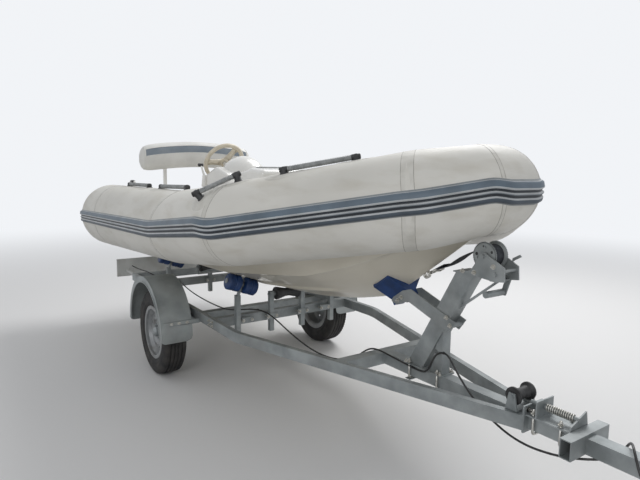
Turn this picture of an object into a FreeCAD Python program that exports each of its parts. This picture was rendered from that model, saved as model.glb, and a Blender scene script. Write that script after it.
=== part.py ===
import FreeCAD, Part
import Sketcher
import math
import os
import re

# Rigid inflatable boat on its galvanised road trailer.
# X runs forward to the bow and the coupling, Y to port, Z up, with the ground at Z = 0.
# Every place is measured from the middle of the axle line, and each finished piece is then
# moved by axle_x, so that the origin lies under the middle of the whole outfit.

V = FreeCAD.Vector
doc = FreeCAD.newDocument("boat_on_trailer")

# Driving dimensions in millimetres and degrees
SIZES = {
    # place of the axle line in the finished frame
    "axle_x": -953.1,
    # road wheels
    "tyre_radius": 289, "tyre_width": 155, "rim_radius": 182, "bead_radius": 166, "bead_half": 60,
    "track_half": 661, "stub_radius": 17, "hub_radius": 34, "hub_back": 52, "end_gap": 0.3, "running_gap": 0.05,
    "stud_circle": 49, "stud_radius": 6, "nut_radius": 10, "vent_circle": 108, "vent_radius": 9,
    # chassis
    "rail_width": 30, "rail_height": 60, "rail_outer_y": 527, "rail_top": 478.5, "rail_rear_x": -1180,
    "knee_x": 864, "knee_radius": 300, "rail_front_x": 2415, "rail_front_y": 62,
    "drawbar_side": 60, "drawbar_top": 480, "drawbar_rear_x": 1582, "drawbar_front_x": 3270,
    "beam_height": 60, "beam_width": 44, "main_beam_x": 526, "rear_beam_x": -750,
    "member_x": 1552, "member_width": 60, "end_beam_width": 40,
    "axle_tube_x": 140, "axle_tube_side": 60, "arm_width": 36,
    # mudguards
    "guard_radius": 345, "guard_z": 330, "guard_low": 300, "guard_inner_y": 576, "guard_width": 205,
    "guard_skin": 3, "guard_flange": 38, "guard_bead": 4, "stay_height": 28, "stay_z": 422,
    # rollers under the boat
    "bilge_y": 318, "bilge_radius": 52, "bilge_width": 92, "bilge_gap": 12, "head_length": 82, "shaft_radius": 9,
    "post_side": 30, "post_low": 348, "keel_radius": 42, "keel_waist": 27, "keel_width": 180,
    "keel_shaft_radius": 8, "keel_post_y": 120, "roller_clear": 0.4,
    # winch post, arm and chock
    "foot_x": 1752, "top_x": 2030, "post_depth": 98, "post_top_z": 975, "post_half": 32,
    "winch_x": 2180, "winch_z": 1066, "flange_radius": 57, "winch_half": 38, "frame_half": 48,
    "plate": 6, "pinion_x": 2243, "pinion_z": 1000, "strap_radius": 46, "strap_width": 50,
    "eye_x": 1820, "eye_out": 8, "eye_reach": 15, "chock_half": 110, "chock_rise": 70, "chock_core": 32,
    # drawbar fittings
    "drawbar_roller_x": 2362, "drawbar_roller_z": 535, "spool_radius": 36, "spool_waist": 22, "spool_half": 50,
    "screw_x": 2422, "screw_radius": 9, "screw_z": 520, "plate_three_x": 2600,
    # coupling and jockey wheel
    "ball_x": 3439.6, "ball_radius": 25, "ball_clear": 0.5, "jockey_x": 3010, "jockey_y": 92,
    "jockey_radius": 100, "jockey_trail": 45, "jockey_outer": 24.9, "jockey_inner": 20, "jockey_sleeve": 34,
    # inflatable tube
    "stern_cone": 250, "stern_tip": 110,
    # hull
    "floor_z": 862, "floor_half": 385, "cockpit_front": 640, "transom_x": -1400, "transom_thick": 45,
    "board_out": 22, "transom_low": 845, "transom_top": 1085, "transom_half": 340,
    "spray_share": 0.42, "spray_height": 14,
    # helm and seats
    "helm_x": -400, "helm_z": 1452, "helm_radius": 163, "helm_rake": 58, "grip_radius": 13,
    "console_half": 210, "seat_half": 200, "bench_half": 330, "rest_half": 500,
    # light board
    "board_x": -1450, "board_half": 590, "board_low": 410, "board_high": 570, "board_thick": 20,
    "plate_hole_y": 140, "plate_hole_radius": 3.2,
    # cable
    "cable_radius": 4.5, "plug_radius": 17, "plug_length": 58,
}

sheet = doc.addObject("Spreadsheet::Sheet", "sizes")
for row, (alias, value) in enumerate(SIZES.items(), start=1):
    sheet.set("A%d" % row, alias)
    sheet.set("B%d" % row, str(value))
    sheet.setAlias("B%d" % row, alias)
doc.recompute()


def size(alias):
    return float(getattr(sheet, alias))


def cells(text):
    """Writes the sheet's names into an expression."""
    return re.sub(r"[a-z_]+", lambda word: "sizes." + word.group() if word.group() in SIZES else word.group(),
                  str(text))


def bind(item, settings):
    """Ties properties of an object to the sheet."""
    for name, text in settings.items():
        item.setExpression(name, cells(text))
    return item


# Objects tied to the sheet
def block(x, y, z, length, width, height):
    """A box from its low corner and its sizes along X, Y and Z."""
    return bind(doc.addObject("Part::Box", "block"), {
        "Placement.Base.x": x, "Placement.Base.y": y, "Placement.Base.z": z,
        "Length": length, "Width": width, "Height": height})


TURNS = {"x": V(1, 0, 0), "y": V(0, 1, 0), "z": V(0, 0, 1)}


def rod(radius, x, y, z, along, length):
    """A round bar from the middle of one end, along an axis."""
    item = doc.addObject("Part::Cylinder", "rod")
    item.Placement.Rotation = FreeCAD.Rotation(V(0, 0, 1), TURNS[along])
    return bind(item, {"Placement.Base.x": x, "Placement.Base.y": y, "Placement.Base.z": z,
                       "Radius": radius, "Height": length})


def drawn(body, role, outline, offset):
    """A closed straight-edged sketch on a plane of the body, with each corner tied to the sheet."""
    sketch = body.newObject("Sketcher::SketchObject", "outline")
    sketch.AttachmentSupport = [(next(item for item in body.Origin.OriginFeatures if item.Role == role), "")]
    sketch.MapMode = "FlatFace"
    bind(sketch, {"AttachmentOffset.Base.z": offset})
    count = len(outline)
    ring = [2 * math.pi * corner / count for corner in range(count)]
    spots = [V(100 * math.cos(turn), 100 * math.sin(turn), 0) for turn in ring]
    for corner in range(count):
        sketch.addGeometry(Part.LineSegment(spots[corner], spots[(corner + 1) % count]), False)
    for corner in range(count):
        sketch.addConstraint(Sketcher.Constraint("Coincident", corner, 2, (corner + 1) % count, 1))
    for corner, (across, up) in enumerate(outline):
        for kind, text, start in (("DistanceX", across, spots[corner].x), ("DistanceY", up, spots[corner].y)):
            number = sketch.addConstraint(Sketcher.Constraint(kind, -1, 1, corner, 1, start))
            bind(sketch, {"Constraints[%d]" % number: text})
    return sketch


# Plane of a plate: the role of the body's plane, and how its offset follows from the plate's two faces
PLANES = {"xy": ("XY_Plane", "{low}"), "xz": ("XZ_Plane", "0 - ({high})"), "yz": ("YZ_Plane", "{low}")}


def plate(plane, outline, low, high):
    """A plate with a straight-edged outline in plane xy, xz or yz, from low to high across it."""
    role, offset = PLANES[plane]
    body = doc.addObject("PartDesign::Body", "plate")
    sketch = drawn(body, role, outline, offset.format(low=low, high=high))
    pad = body.newObject("PartDesign::Pad", "pad")
    pad.Profile = sketch
    bind(pad, {"Length": "({high}) - ({low})".format(low=low, high=high)})
    return body


def spun(outline, x, y, z, axis="y"):
    """A turned body from an outline of (along, radius) corners, about an axis through a place."""
    body = doc.addObject("PartDesign::Body", "turned")
    sketch = drawn(body, "XY_Plane", [(radius, along) for along, radius in outline], 0)
    turning = body.newObject("PartDesign::Revolution", "turning")
    turning.Profile = sketch
    turning.ReferenceAxis = (sketch, ["V_Axis"])
    body.Placement.Rotation = FreeCAD.Rotation(V(0, 1, 0), TURNS[axis])
    return bind(body, {"Placement.Base.x": x, "Placement.Base.y": y, "Placement.Base.z": z})


def joined(items):
    """Several solids welded or moulded into one."""
    item = doc.addObject("Part::MultiFuse", "joined")
    item.Shapes = items
    item.Refine = True
    return item


def without(base, tools):
    """A solid with others cut from it."""
    item = doc.addObject("Part::Cut", "cut")
    item.Base = base
    item.Tool = joined(tools) if len(tools) > 1 else tools[0]
    item.Refine = True
    return item


def grouped(items):
    """Solids that share a node without touching."""
    item = doc.addObject("Part::Compound", "group")
    item.Links = items
    return item


def mirrored(source):
    """The same thing on the starboard side."""
    item = doc.addObject("Part::Mirroring", "mirrored")
    item.Source = source
    item.Base = V(0, 0, 0)
    item.Normal = V(0, 1, 0)
    return item


def shaped(shape):
    """A form that is worked out from the sheet with vectors."""
    item = doc.addObject("Part::Feature", "shape")
    item.Shape = shape
    item.Placement = shape.Placement
    return item


# Finished pieces, in the order in which they are made
pieces = []


def finish(label, item):
    """Names a finished piece and moves it from the axle's frame into the outfit's."""
    bound = {path.strip("."): text for path, text in item.ExpressionEngine}
    start = bound.get("Placement.Base.x", repr(item.Placement.Base.x))
    item.Label = label
    item.setExpression("Placement.Base.x", "sizes.axle_x + " + start)
    pieces.append(item)


def both_sides(label, make):
    """One piece on each side, made for port and mirrored for starboard."""
    finish(label + "_starboard", mirrored(make()))
    finish(label + "_port", make())


def around(count, circle, first=0):
    """Expressions of the places of equal parts on a circle about the wheel's axis."""
    for part in range(count):
        turn = math.radians(first + 360 * part / count)
        yield "%.6f * %s" % (math.cos(turn), circle), "tyre_radius + %.6f * %s" % (math.sin(turn), circle)


# Road wheels and axle
def make_tyre():
    half = [("0.2 * tyre_width", "tyre_radius"), ("0.38 * tyre_width", "tyre_radius - 4"),
            ("0.465 * tyre_width", "tyre_radius - 24"), ("0.5 * tyre_width", "rim_radius + 48"),
            ("bead_half + 4", "rim_radius + 4"), ("bead_half", "rim_radius"), ("bead_half", "bead_radius")]
    other = [("0 - " + along.replace("+", "-"), radius) for along, radius in reversed(half)]
    return spun(half + other, 0, "track_half", "tyre_radius")


def make_rim():
    """Pressed steel wheel: a barrel with flanges and a dished disc with stud and vent holes."""
    outline = [
        ("0 - bead_half - 5", "rim_radius - 1"), ("0 - bead_half", "rim_radius - 1"), ("0 - bead_half", "bead_radius"),
        ("bead_half", "bead_radius"), ("bead_half", "rim_radius - 1"), ("bead_half + 5", "rim_radius - 1"),
        ("bead_half + 5", "bead_radius - 8"), ("bead_half - 12", "bead_radius - 9"), (20, "bead_radius - 24"),
        (34, "bead_radius - 46"), (38, "stud_circle + 37"), (26, "stud_circle + 23"), (26, "hub_radius + 6"),
        (20, "hub_radius + 6"), (20, "stud_circle + 29"), (26, "stud_circle + 43"), (27, "bead_radius - 44"),
        (14, "bead_radius - 24"), ("8 - bead_half", "bead_radius - 24"), ("0 - bead_half - 5", "bead_radius - 8"),
    ]
    holes = [rod("stud_radius + 1", x, "track_half", z, "y", 60) for x, z in around(4, "stud_circle", 45)]
    holes += [rod("vent_radius", x, "track_half", z, "y", 80) for x, z in around(8, "vent_circle", 22.5)]
    return without(spun(outline, 0, "track_half", "tyre_radius"), holes)


def make_hub():
    """Bearing hub with its flange, studs, nuts and grease cap, running on the stub."""
    bore = "stub_radius + running_gap"
    outline = [("0 - hub_back", bore), ("0 - hub_back", "hub_radius"), (10, "hub_radius"), (10, 64), (20, 64),
               (20, "hub_radius + 2"), (50, "hub_radius - 1"), (62, "hub_radius - 12"), (62, 0), (52, 0), (52, bore)]
    studs = [rod("stud_radius", x, "track_half + 19", z, "y", 25) for x, z in around(4, "stud_circle", 45)]
    nuts = [rod("nut_radius", x, "track_half + 26", z, "y", 12) for x, z in around(4, "stud_circle", 45)]
    return joined([spun(outline, 0, "track_half", "tyre_radius")] + studs + nuts)


def make_axle():
    """Torsion axle: a square tube under the rails, with a trailing arm and a stub at each end."""
    bottom = "rail_top - rail_height - axle_tube_side"
    tube = block("axle_tube_x - axle_tube_side / 2", "0 - rail_outer_y", bottom, "axle_tube_side",
                 "2 * rail_outer_y", "axle_tube_side")
    ends = []
    for side in ("port", "starboard"):
        outline = [("axle_tube_x + 34", bottom + " + 4"), ("axle_tube_x + 34", "rail_top - rail_height - 1"),
                   ("axle_tube_x - 30", "rail_top - rail_height - 1"), (-34, "tyre_radius + 22"),
                   (-34, "tyre_radius - 20"), (4, "tyre_radius - 30")]
        end = joined([plate("xz", outline, "rail_outer_y", "rail_outer_y + arm_width"),
                      rod("stub_radius", 0, "rail_outer_y + 2", "tyre_radius", "y",
                          "track_half - rail_outer_y + 48"),
                      rod("stub_radius + 9", 0, "rail_outer_y + arm_width - 1", "tyre_radius", "y",
                          "track_half - hub_back - end_gap - rail_outer_y - arm_width + 1")])
        ends.append(end if side == "port" else mirrored(end))
    return joined([tube] + ends)


both_sides("tyre", make_tyre)
both_sides("rim", make_rim)
both_sides("hub", make_hub)
finish("axle", make_axle())


# Chassis
def rail_turn():
    """Angle through which a rail bends at the knee."""
    return math.atan2(size("rail_outer_y") - size("rail_front_y"), size("rail_front_x") - size("knee_x"))


def make_rail():
    """Bent side rail of the port side, with its front end cut to the drawbar."""
    outer, width, turn = size("rail_outer_y"), size("rail_width"), rail_turn()
    far = size("knee_radius") + width
    centre = V(size("knee_x") - far * math.tan(turn / 2), outer - far, 0)
    straight, middle = V(0, 1, 0), V(math.sin(turn / 2), math.cos(turn / 2), 0)
    across = V(math.sin(turn), math.cos(turn), 0)
    tip = V(size("rail_front_x"), size("rail_front_y"), 0)
    tip_in = tip - V(0, width / math.cos(turn), 0)
    rear = V(size("rail_rear_x"), outer, 0)
    near = far - width
    edges = [
        Part.LineSegment(rear, centre + straight * far),
        Part.Arc(centre + straight * far, centre + middle * far, centre + across * far),
        Part.LineSegment(centre + across * far, tip),
        Part.LineSegment(tip, tip_in),
        Part.LineSegment(tip_in, centre + across * near),
        Part.Arc(centre + across * near, centre + middle * near, centre + straight * near),
        Part.LineSegment(centre + straight * near, rear - straight * width),
        Part.LineSegment(rear - straight * width, rear),
    ]
    face = Part.Face(Part.Wire([edge.toShape() for edge in edges]))
    face.translate(V(0, 0, size("rail_top") - size("rail_height")))
    rail = face.extrude(V(0, 0, size("rail_height")))
    side = size("drawbar_side")
    bar = Part.makeBox(2000, side, 2 * side, V(size("drawbar_rear_x"), -side / 2, size("drawbar_top") - 2 * side))
    return rail.cut(bar)


def rail_inner(x):
    """Inner face of the rail at x ahead of the knee."""
    outer = size("rail_outer_y") - (x - size("knee_x")) * math.tan(rail_turn())
    return outer - size("rail_width") / math.cos(rail_turn())


RAIL = make_rail()
finish("side_rail_starboard", shaped(RAIL.mirror(V(0, 0, 0), V(0, 1, 0))))
finish("side_rail_port", shaped(RAIL))


def make_drawbar():
    """Square drawbar, the sleeve and end plate of the rails, the screw's plates and the crosspiece."""
    half, low = "drawbar_side / 2", "drawbar_top - drawbar_side"
    bar = block("drawbar_rear_x", "0 - " + half, low, "drawbar_front_x - drawbar_rear_x", "drawbar_side",
                "drawbar_side")
    end_plate = block("rail_front_x", "0 - rail_front_y", low + " - 10", 8, "2 * rail_front_y", "drawbar_side + 48")
    base = block("screw_x", "0 - rail_front_y + 8", "drawbar_top", 178, "2 * rail_front_y - 16", "plate")
    front = block("screw_x + 42", "0 - rail_front_y + 8", "drawbar_top", "plate", "2 * rail_front_y - 16", 70)
    screw = rod("screw_radius", "rail_front_x - 4", 0, "screw_z", "x", "plate_three_x - rail_front_x + 12")
    third = plate("yz", [("0 - rail_front_y", "drawbar_top - 2"), ("rail_front_y", "drawbar_top - 2"),
                         ("rail_front_y - 14", "drawbar_top + 62"), ("14 - rail_front_y", "drawbar_top + 26")],
                  "plate_three_x", "plate_three_x + plate")
    cross = block("plate_three_x + 8", -125, low + " - 1", 44, 250, "drawbar_side + 12")
    hollow = block("plate_three_x + 12", -126, low + " + 3", 36, 252, "drawbar_side + 4")
    return joined([bar, end_plate, base, front, screw, third, without(cross, [hollow])])


def make_cross_beams():
    """Beams between the rails under the boat, the member ahead of them and the tube that closes the frame."""
    inner = "rail_outer_y - rail_width"
    low = "rail_top - beam_height"
    beams = [block(alias + " - beam_width / 2", "0 - (%s)" % inner, low, "beam_width", "2 * (%s)" % inner,
                   "beam_height") for alias in ("main_beam_x", "rear_beam_x")]
    beams.append(block("rail_rear_x", "0 - (%s)" % inner, low, "end_beam_width", "2 * (%s)" % inner, "beam_height"))
    x, half = size("member_x"), size("member_width") / 2
    behind, ahead = rail_inner(x - half), rail_inner(x + half)
    top = size("rail_top")
    corners = [V(x - half, -behind, top), V(x + half, -ahead, top), V(x + half, ahead, top), V(x - half, behind, top)]
    member = Part.Face(Part.makePolygon(corners + corners[:1])).extrude(V(0, 0, -size("beam_height")))
    bar = Part.makeBox(2000, size("drawbar_side"), 500, V(size("drawbar_rear_x"), -size("drawbar_side") / 2, 0))
    return grouped(beams + [shaped(member.cut(bar))])


finish("drawbar", make_drawbar())
finish("cross_beams", make_cross_beams())


# Mudguards
def make_mudguard():
    """Guard over the wheel: a rolled skin, an outer flange with two beads, rounded ends, and two stays."""
    outer, high = "guard_radius", "guard_inner_y + guard_width"
    inner = outer + " - guard_flange"
    ring = without(rod(outer, 0, "guard_inner_y", "guard_z", "y", "guard_width"),
                   [rod(outer + " - guard_skin", 0, "guard_inner_y - 1", "guard_z", "y", "guard_width + 2")])
    flange = without(rod(outer + " + guard_bead", 0, high + " - guard_skin", "guard_z", "y", "guard_skin"),
                     [rod(inner, 0, high + " - guard_skin - 1", "guard_z", "y", "guard_skin + 2")])
    bead = without(rod(inner + " + 2 * guard_bead", 0, high + " - 1", "guard_z", "y", "guard_bead + 1"),
                   [rod(inner, 0, high + " - 2", "guard_z", "y", "guard_bead + 4")])
    rounded = [("guard_inner_y - 1", "guard_low + 36"), ("guard_inner_y + 10", "guard_low + 11"),
               ("guard_inner_y + 36", "guard_low"), (high + " - 26", "guard_low"), (high + " - 6", "guard_low + 8"),
               (high + " + 5", "guard_low + 30"), (high + " + 5", "guard_z + guard_radius + 10"),
               ("guard_inner_y - 1", "guard_z + guard_radius + 10")]
    window = plate("yz", rounded, "0 - guard_radius - 10", "guard_radius + 10")
    shell = doc.addObject("Part::MultiCommon", "trimmed")
    shell.Shapes = [joined([ring, flange, bead]), window]
    stays = [block(x, "rail_outer_y", "stay_z - stay_height / 2", "plate", "track_half + 105 - rail_outer_y",
                   "stay_height") for x in ("guard_radius - 12", "6 - guard_radius")]
    return joined([shell] + stays)


both_sides("mudguard", make_mudguard)

# Inflatable tube: cones about balls at the corners, so that each pair of lengths meets on a flat mitre.
# Columns: x, y on the port side, z, radius of the ball
TUBE = [
    (-1319, 630, 990, 259),
    (496, 672, 1055, 217.5),
    (1210, 688, 1136, 202),
    (1957, 196, 1285, 212),
    (2139, 39, 1331, 188),
    (2139, -39, 1331, 188),
    (1957, -196, 1285, 212),
]
SIDE_LENGTHS = 4


def tube_point(row):
    return V(*TUBE[row][:3])


def tube_axis(row):
    """Direction of the length that starts at a row, its span and the slope of its cone."""
    run = tube_point(row + 1) - tube_point(row)
    return V(run).normalize(), run.Length, math.asin((TUBE[row][3] - TUBE[row + 1][3]) / run.Length)


def mitre(row):
    """Point and normal of the plane on which the two lengths at a row meet."""
    before, _, slope_before = tube_axis(row - 1)
    after, _, slope_after = tube_axis(row)
    normal = before * (1 / math.cos(slope_before)) + after * (1 / math.cos(slope_after))
    offset = TUBE[row][3] * (math.tan(slope_before) + math.tan(slope_after))
    return tube_point(row) + normal * (offset / normal.dot(normal)), normal.normalize()


def half_space(row, ahead):
    """A large block on one side of the mitre at a row."""
    origin, normal = mitre(row)
    reach = 3000
    slab = Part.makeBox(2 * reach, 2 * reach, reach, V(-reach, -reach, 0))
    slab.Placement = FreeCAD.Placement(origin, FreeCAD.Rotation(V(0, 0, 1), normal if ahead else normal * -1))
    return slab


def tube_length(row):
    """One straight length of the tube from its row in the table to the next, with its ends on the mitres."""
    along, span, slope = tube_axis(row)
    low = 0 if row == 0 else -0.9 * TUBE[row][3]
    high = span + 0.9 * TUBE[row + 1][3]

    def radius(place):
        return (TUBE[row][3] - place * math.sin(slope)) / math.cos(slope)

    origin = tube_point(row) + along * low
    if abs(slope) < 1e-6:
        solid = Part.makeCylinder(radius(low), high - low, origin, along)
    else:
        solid = Part.makeCone(radius(low), radius(high), high - low, origin, along)
    if row > 0:
        solid = solid.common(half_space(row, True))
    return solid.common(half_space(row + 1, False))


def stern_cone():
    """Cone that closes the tube at the stern."""
    along, _, slope = tube_axis(0)
    base = TUBE[0][3] / math.cos(slope)
    return Part.makeCone(base, size("stern_tip"), size("stern_cone"), tube_point(0), along * -1)


def fused(shapes):
    return shapes[0].multiFuse(shapes[1:]).removeSplitter()


def starboard(shape):
    return shape.mirror(V(0, 0, 0), V(0, 1, 0))


def side_tube():
    """All of the port side, cut at the middle plane where the two sides meet inside the bow."""
    reach = 3000
    port_half = Part.makeBox(2 * reach, reach, reach, V(-reach, 0, 0))
    return fused([stern_cone()] + [tube_length(row) for row in range(SIDE_LENGTHS)]).common(port_half)


SIDE_TUBE = side_tube()
BOW_TUBE = tube_length(SIDE_LENGTHS)
WHOLE_TUBE = fused([SIDE_TUBE, starboard(SIDE_TUBE), BOW_TUBE])
finish("tube_starboard", shaped(starboard(SIDE_TUBE)))
finish("tube_port", shaped(SIDE_TUBE))
finish("tube_bow", shaped(BOW_TUBE))

# Rubbing strake: a ribbed section that follows the tube. Columns: height above the middle, reach past the tube
STRAKE = [(-46, 3), (-40, 11), (-30, 12), (-26, 7), (-20, 7), (-16, 12), (-8, 12), (-4, 5), (4, 5), (10, 15),
          (30, 15), (38, 9), (46, 3)]


def strake_section(row):
    """Ribbed outline on the mitre at a row of the tube, reaching a little way into the tube."""
    if row == 0:
        origin, normal = tube_point(0), tube_axis(0)[0]
    else:
        origin, normal = mitre(row)
    straight = tube_axis(max(row - 1, 0))[0]
    out = V(-normal.y, normal.x, 0).normalize()
    up = normal.cross(out)
    up = up if up.z > 0 else up * -1
    stretch = 1 / out.dot(V(-straight.y, straight.x, 0).normalize())
    radius, edge = TUBE[row][3], STRAKE[-1][0]
    points = [(height, radius + reach) for height, reach in STRAKE] + [(edge, radius - 14), (-edge, radius - 14)]
    corners = [origin + out * (reach * stretch) + up * height for height, reach in points]
    return Part.makePolygon(corners + corners[:1])


SIDE_STRAKE = Part.makeLoft([strake_section(row) for row in range(SIDE_LENGTHS + 1)], True, True).cut(SIDE_TUBE)
BOW_ENDS = [strake_section(row) for row in (SIDE_LENGTHS, SIDE_LENGTHS + 1)]
BOW_STRAKE = Part.makeLoft(BOW_ENDS, True, True).cut(BOW_TUBE)
finish("rubbing_strake_starboard", shaped(starboard(SIDE_STRAKE)))
finish("rubbing_strake_port", shaped(SIDE_STRAKE))
finish("rubbing_strake_bow", shaped(BOW_STRAKE))


def tube_skin(x, turn, lift=0):
    """A point on the port tube's skin at x, turned outward from its crest, and the way out of the skin there."""
    row = next(number for number in range(SIDE_LENGTHS) if x <= TUBE[number + 1][0])
    along = tube_axis(row)[0]
    share = (x - TUBE[row][0]) / (TUBE[row + 1][0] - TUBE[row][0])
    centre = tube_point(row) + (tube_point(row + 1) - tube_point(row)) * share
    radius = TUBE[row][3] + (TUBE[row + 1][3] - TUBE[row][3]) * share
    out = V(-along.y, along.x, 0).normalize()
    up = along.cross(out)
    up = up if up.z > 0 else up * -1
    way = up * math.cos(math.radians(turn)) + out * math.sin(math.radians(turn))
    return centre + way * (radius + lift), way


# Grab handles along the tube: a sleeve between two rubber blocks.
# Columns: x and turn from the crest of the rear block and of the front one, lift of the sleeve
HANDLES = [(-740, 0, -210, 0, 16), (60, 0, 555, 0, 16), (1160, 48, 1250, 6, 34), (1465, 10, 1705, -6, 18)]
SLEEVE_RADIUS = 13
BLOCK_RADIUS = 21


def make_handle(rear_x, rear_turn, front_x, front_turn, lift):
    ends = [tube_skin(rear_x, rear_turn, lift), tube_skin(front_x, front_turn, lift)]
    parts = [Part.makeCylinder(BLOCK_RADIUS, lift + SLEEVE_RADIUS + 4 + 12, place - way * (lift + 12), way)
             for place, way in ends]
    run = ends[1][0] - ends[0][0]
    parts.append(Part.makeCylinder(SLEEVE_RADIUS, run.Length, ends[0][0], run))
    return fused(parts).cut(SIDE_TUBE)


handles = [make_handle(*row) for row in HANDLES]
finish("tube_handles", grouped([shaped(handle) for handle in handles + [starboard(handle) for handle in handles]]))


def make_grab_rail():
    """Bent white rail that stands on the tube at the stern."""
    (rear, way), (front, _) = tube_skin(-1230, -25, 60), tube_skin(-1090, -25, 60)
    legs = [Part.makeCylinder(9, 80, place - way * 80, way) for place in (rear, front)]
    bar = Part.makeCylinder(9, (front - rear).Length, rear, front - rear)
    corners = [Part.makeSphere(9, place) for place in (rear, front)]
    return fused(legs + [bar] + corners).cut(SIDE_TUBE)


GRAB_RAIL = make_grab_rail()
finish("grab_rails", grouped([shaped(GRAB_RAIL), shaped(starboard(GRAB_RAIL))]))

# Hull sections. Columns: x, keel z, chine y, chine z, y of the edge under the tube, z of that edge
HULL = [
    (-1400, 588, 470, 750, 520, 862),
    (0, 606, 470, 762, 530, 880),
    (600, 622, 450, 778, 540, 925),
    (1000, 655, 395, 826, 540, 990),
    (1340, 712, 345, 868, 500, 1040),
    (1600, 778, 265, 955, 396, 1107),
    (1780, 902, 196, 1030, 322, 1160),
    (1990, 1054, 110, 1132, 240, 1230),
    (2180, 1195, 40, 1215, 150, 1262),
]
CHINE_FLAT = 14


def hull_section(x, keel, chine_y, chine_z, side_y, deck):
    flat = chine_y + CHINE_FLAT
    port = [V(x, chine_y, chine_z), V(x, flat, chine_z + 1), V(x, side_y, deck)]
    corners = [V(x, 0, keel)] + port + [V(x, -corner.y, corner.z) for corner in reversed(port)]
    return Part.makePolygon(corners + corners[:1])


def keel_at(x):
    """Keel height, chine y and chine height at x."""
    low, high = next((low, high) for low, high in zip(HULL, HULL[1:]) if low[0] <= x <= high[0])
    share = (x - low[0]) / (high[0] - low[0])
    return [before + (after - before) * share for before, after in zip(low[1:4], high[1:4])]


def spray_section(x):
    """Small triangle under the bottom at x."""
    keel, chine_y, chine_z = keel_at(x)
    slope = (chine_z - keel) / chine_y
    y, height = size("spray_share") * chine_y, size("spray_height")
    corners = [V(x, y - 26, keel + (y - 26) * slope + 1), V(x, y, keel + y * slope - height),
               V(x, y + 2, keel + (y + 2) * slope + 1)]
    return Part.makePolygon(corners + corners[:1])


def stem_slope(x):
    """Rise of the stem for each millimetre along X."""
    return (keel_at(x + 5)[0] - keel_at(x - 5)[0]) / 10


def bow_eye():
    """Middle of the bow eye, just outside the stem."""
    x = size("eye_x")
    return V(x, 0, keel_at(x)[0]) + V(stem_slope(x), 0, -1).normalize() * size("eye_out")


BOW_EYE = bow_eye()
EYE_REACH = size("eye_reach")


def make_hull():
    """Deep-vee hull with spray rails, cockpit, foredeck and transom board, seated in the tube."""
    body = Part.makeLoft([hull_section(*row) for row in HULL], True, True)
    rail = Part.makeLoft([spray_section(x) for x in (-1380, 0, 600, 1000, 1340)], True, True)
    back, low, top, out = size("transom_x"), size("transom_low"), size("transom_top"), size("board_out")
    wide = size("transom_half")
    corners = [V(back - out, y, z) for y, z in ((-wide, low), (wide, low), (wide - 40, top), (40 - wide, top))]
    board = Part.Face(Part.makePolygon(corners + corners[:1])).extrude(V(out + size("transom_thick"), 0, 0))
    floor, half, front = size("floor_z"), size("floor_half"), size("cockpit_front")
    start = back + size("transom_thick")
    cockpit = Part.makeBox(front - start, 2 * half, 400, V(start, -half, floor))
    hull = fused([body, rail, starboard(rail)]).cut(cockpit)
    staple = Part.makeTorus(EYE_REACH, 5, BOW_EYE, V(0, 1, 0))
    whole = fused([hull, board, staple]).cut(WHOLE_TUBE)
    return max(whole.Solids, key=lambda solid: solid.Volume)


HULL_SHAPE = make_hull()
finish("hull", shaped(HULL_SHAPE))


# Cockpit
def make_console():
    """Helm console: a sloped pod with a rounded screen dome, an instrument hood and the throttle."""
    outline = [(-330, "floor_z"), (140, "floor_z"), (118, 1290), (60, 1372), (-110, 1418), (-300, 1352),
               (-345, 1270), (-300, 1130)]
    pod = plate("xz", outline, "0 - console_half", "console_half")
    dome = Part.makeSphere(170, V(-60, 0, 1326)).common(Part.makeBox(400, 300, 200, V(-260, -150, 1330)))
    lever_y = size("console_half") - 34
    foot = Part.makeBox(90, 46, 30, V(-150, -lever_y - 23, 1385))
    lever = Part.makeCylinder(7, 88, V(-105, -lever_y, 1410), V(-0.35, 0, 1))
    knob = Part.makeCylinder(12, 34, V(-136, -lever_y - 17, 1492), V(0, 1, 0))
    down = V(math.sin(helm_rake()), 0, -math.cos(helm_rake()))
    column = Part.makeCylinder(9, 190, V(size("helm_x"), 0, size("helm_z")), down)
    return joined([pod, shaped(dome), shaped(fused([foot, lever, knob])), shaped(column)])


def helm_rake():
    return math.radians(size("helm_rake"))


def make_front_seat():
    """Locker seat ahead of the console with a sloping nose."""
    outline = [(150, "floor_z"), (600, "floor_z"), (592, 1180), (585, 1399), (418, 1411), (250, 1380),
               (165, 1300)]
    return plate("xz", outline, "0 - seat_half", "seat_half")


def make_bench():
    """Helmsman's seat box with a proud cushion."""
    box = block(-1150, "0 - bench_half + 12", "floor_z", 350, "2 * bench_half - 24", 250)
    lid = block(-1165, "0 - bench_half", "floor_z + 250", 385, "2 * bench_half", 68)
    return joined([box, lid])


def make_backrest():
    """Bolster with a sloped face on two legs."""
    outline = [(-1000, 1450), (-968, 1408), (-935, 1412), (-908, 1470), (-905, 1560), (-925, 1612), (-960, 1628),
               (-992, 1600)]
    pad = plate("xz", outline, "0 - rest_half", "rest_half")
    legs = [block(-975, y, "floor_z + 318", 26, 26, "1440 - floor_z - 318") for y in (-300, 274)]
    return joined([pad] + legs)


def make_steering_wheel():
    """Moulded wheel with a thick grip, three broad spokes and a hub bored for its column."""
    reach = size("helm_radius") - size("grip_radius")
    shapes = [Part.makeTorus(reach, size("grip_radius")), Part.makeCylinder(36, 26, V(0, 0, -13))]
    for turn in (30, 150, 270):
        spoke = Part.makeBox(reach, 34, 12, V(0, -17, -6))
        spoke.rotate(V(0, 0, 0), V(0, 0, 1), turn)
        shapes.append(spoke)
    wheel = fused(shapes).cut(Part.makeCylinder(9 + size("running_gap"), 20, V(0, 0, -14)))
    wheel.Placement = FreeCAD.Placement(V(size("helm_x"), 0, size("helm_z")),
                                        FreeCAD.Rotation(V(0, 1, 0), -size("helm_rake")))
    return wheel


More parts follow.
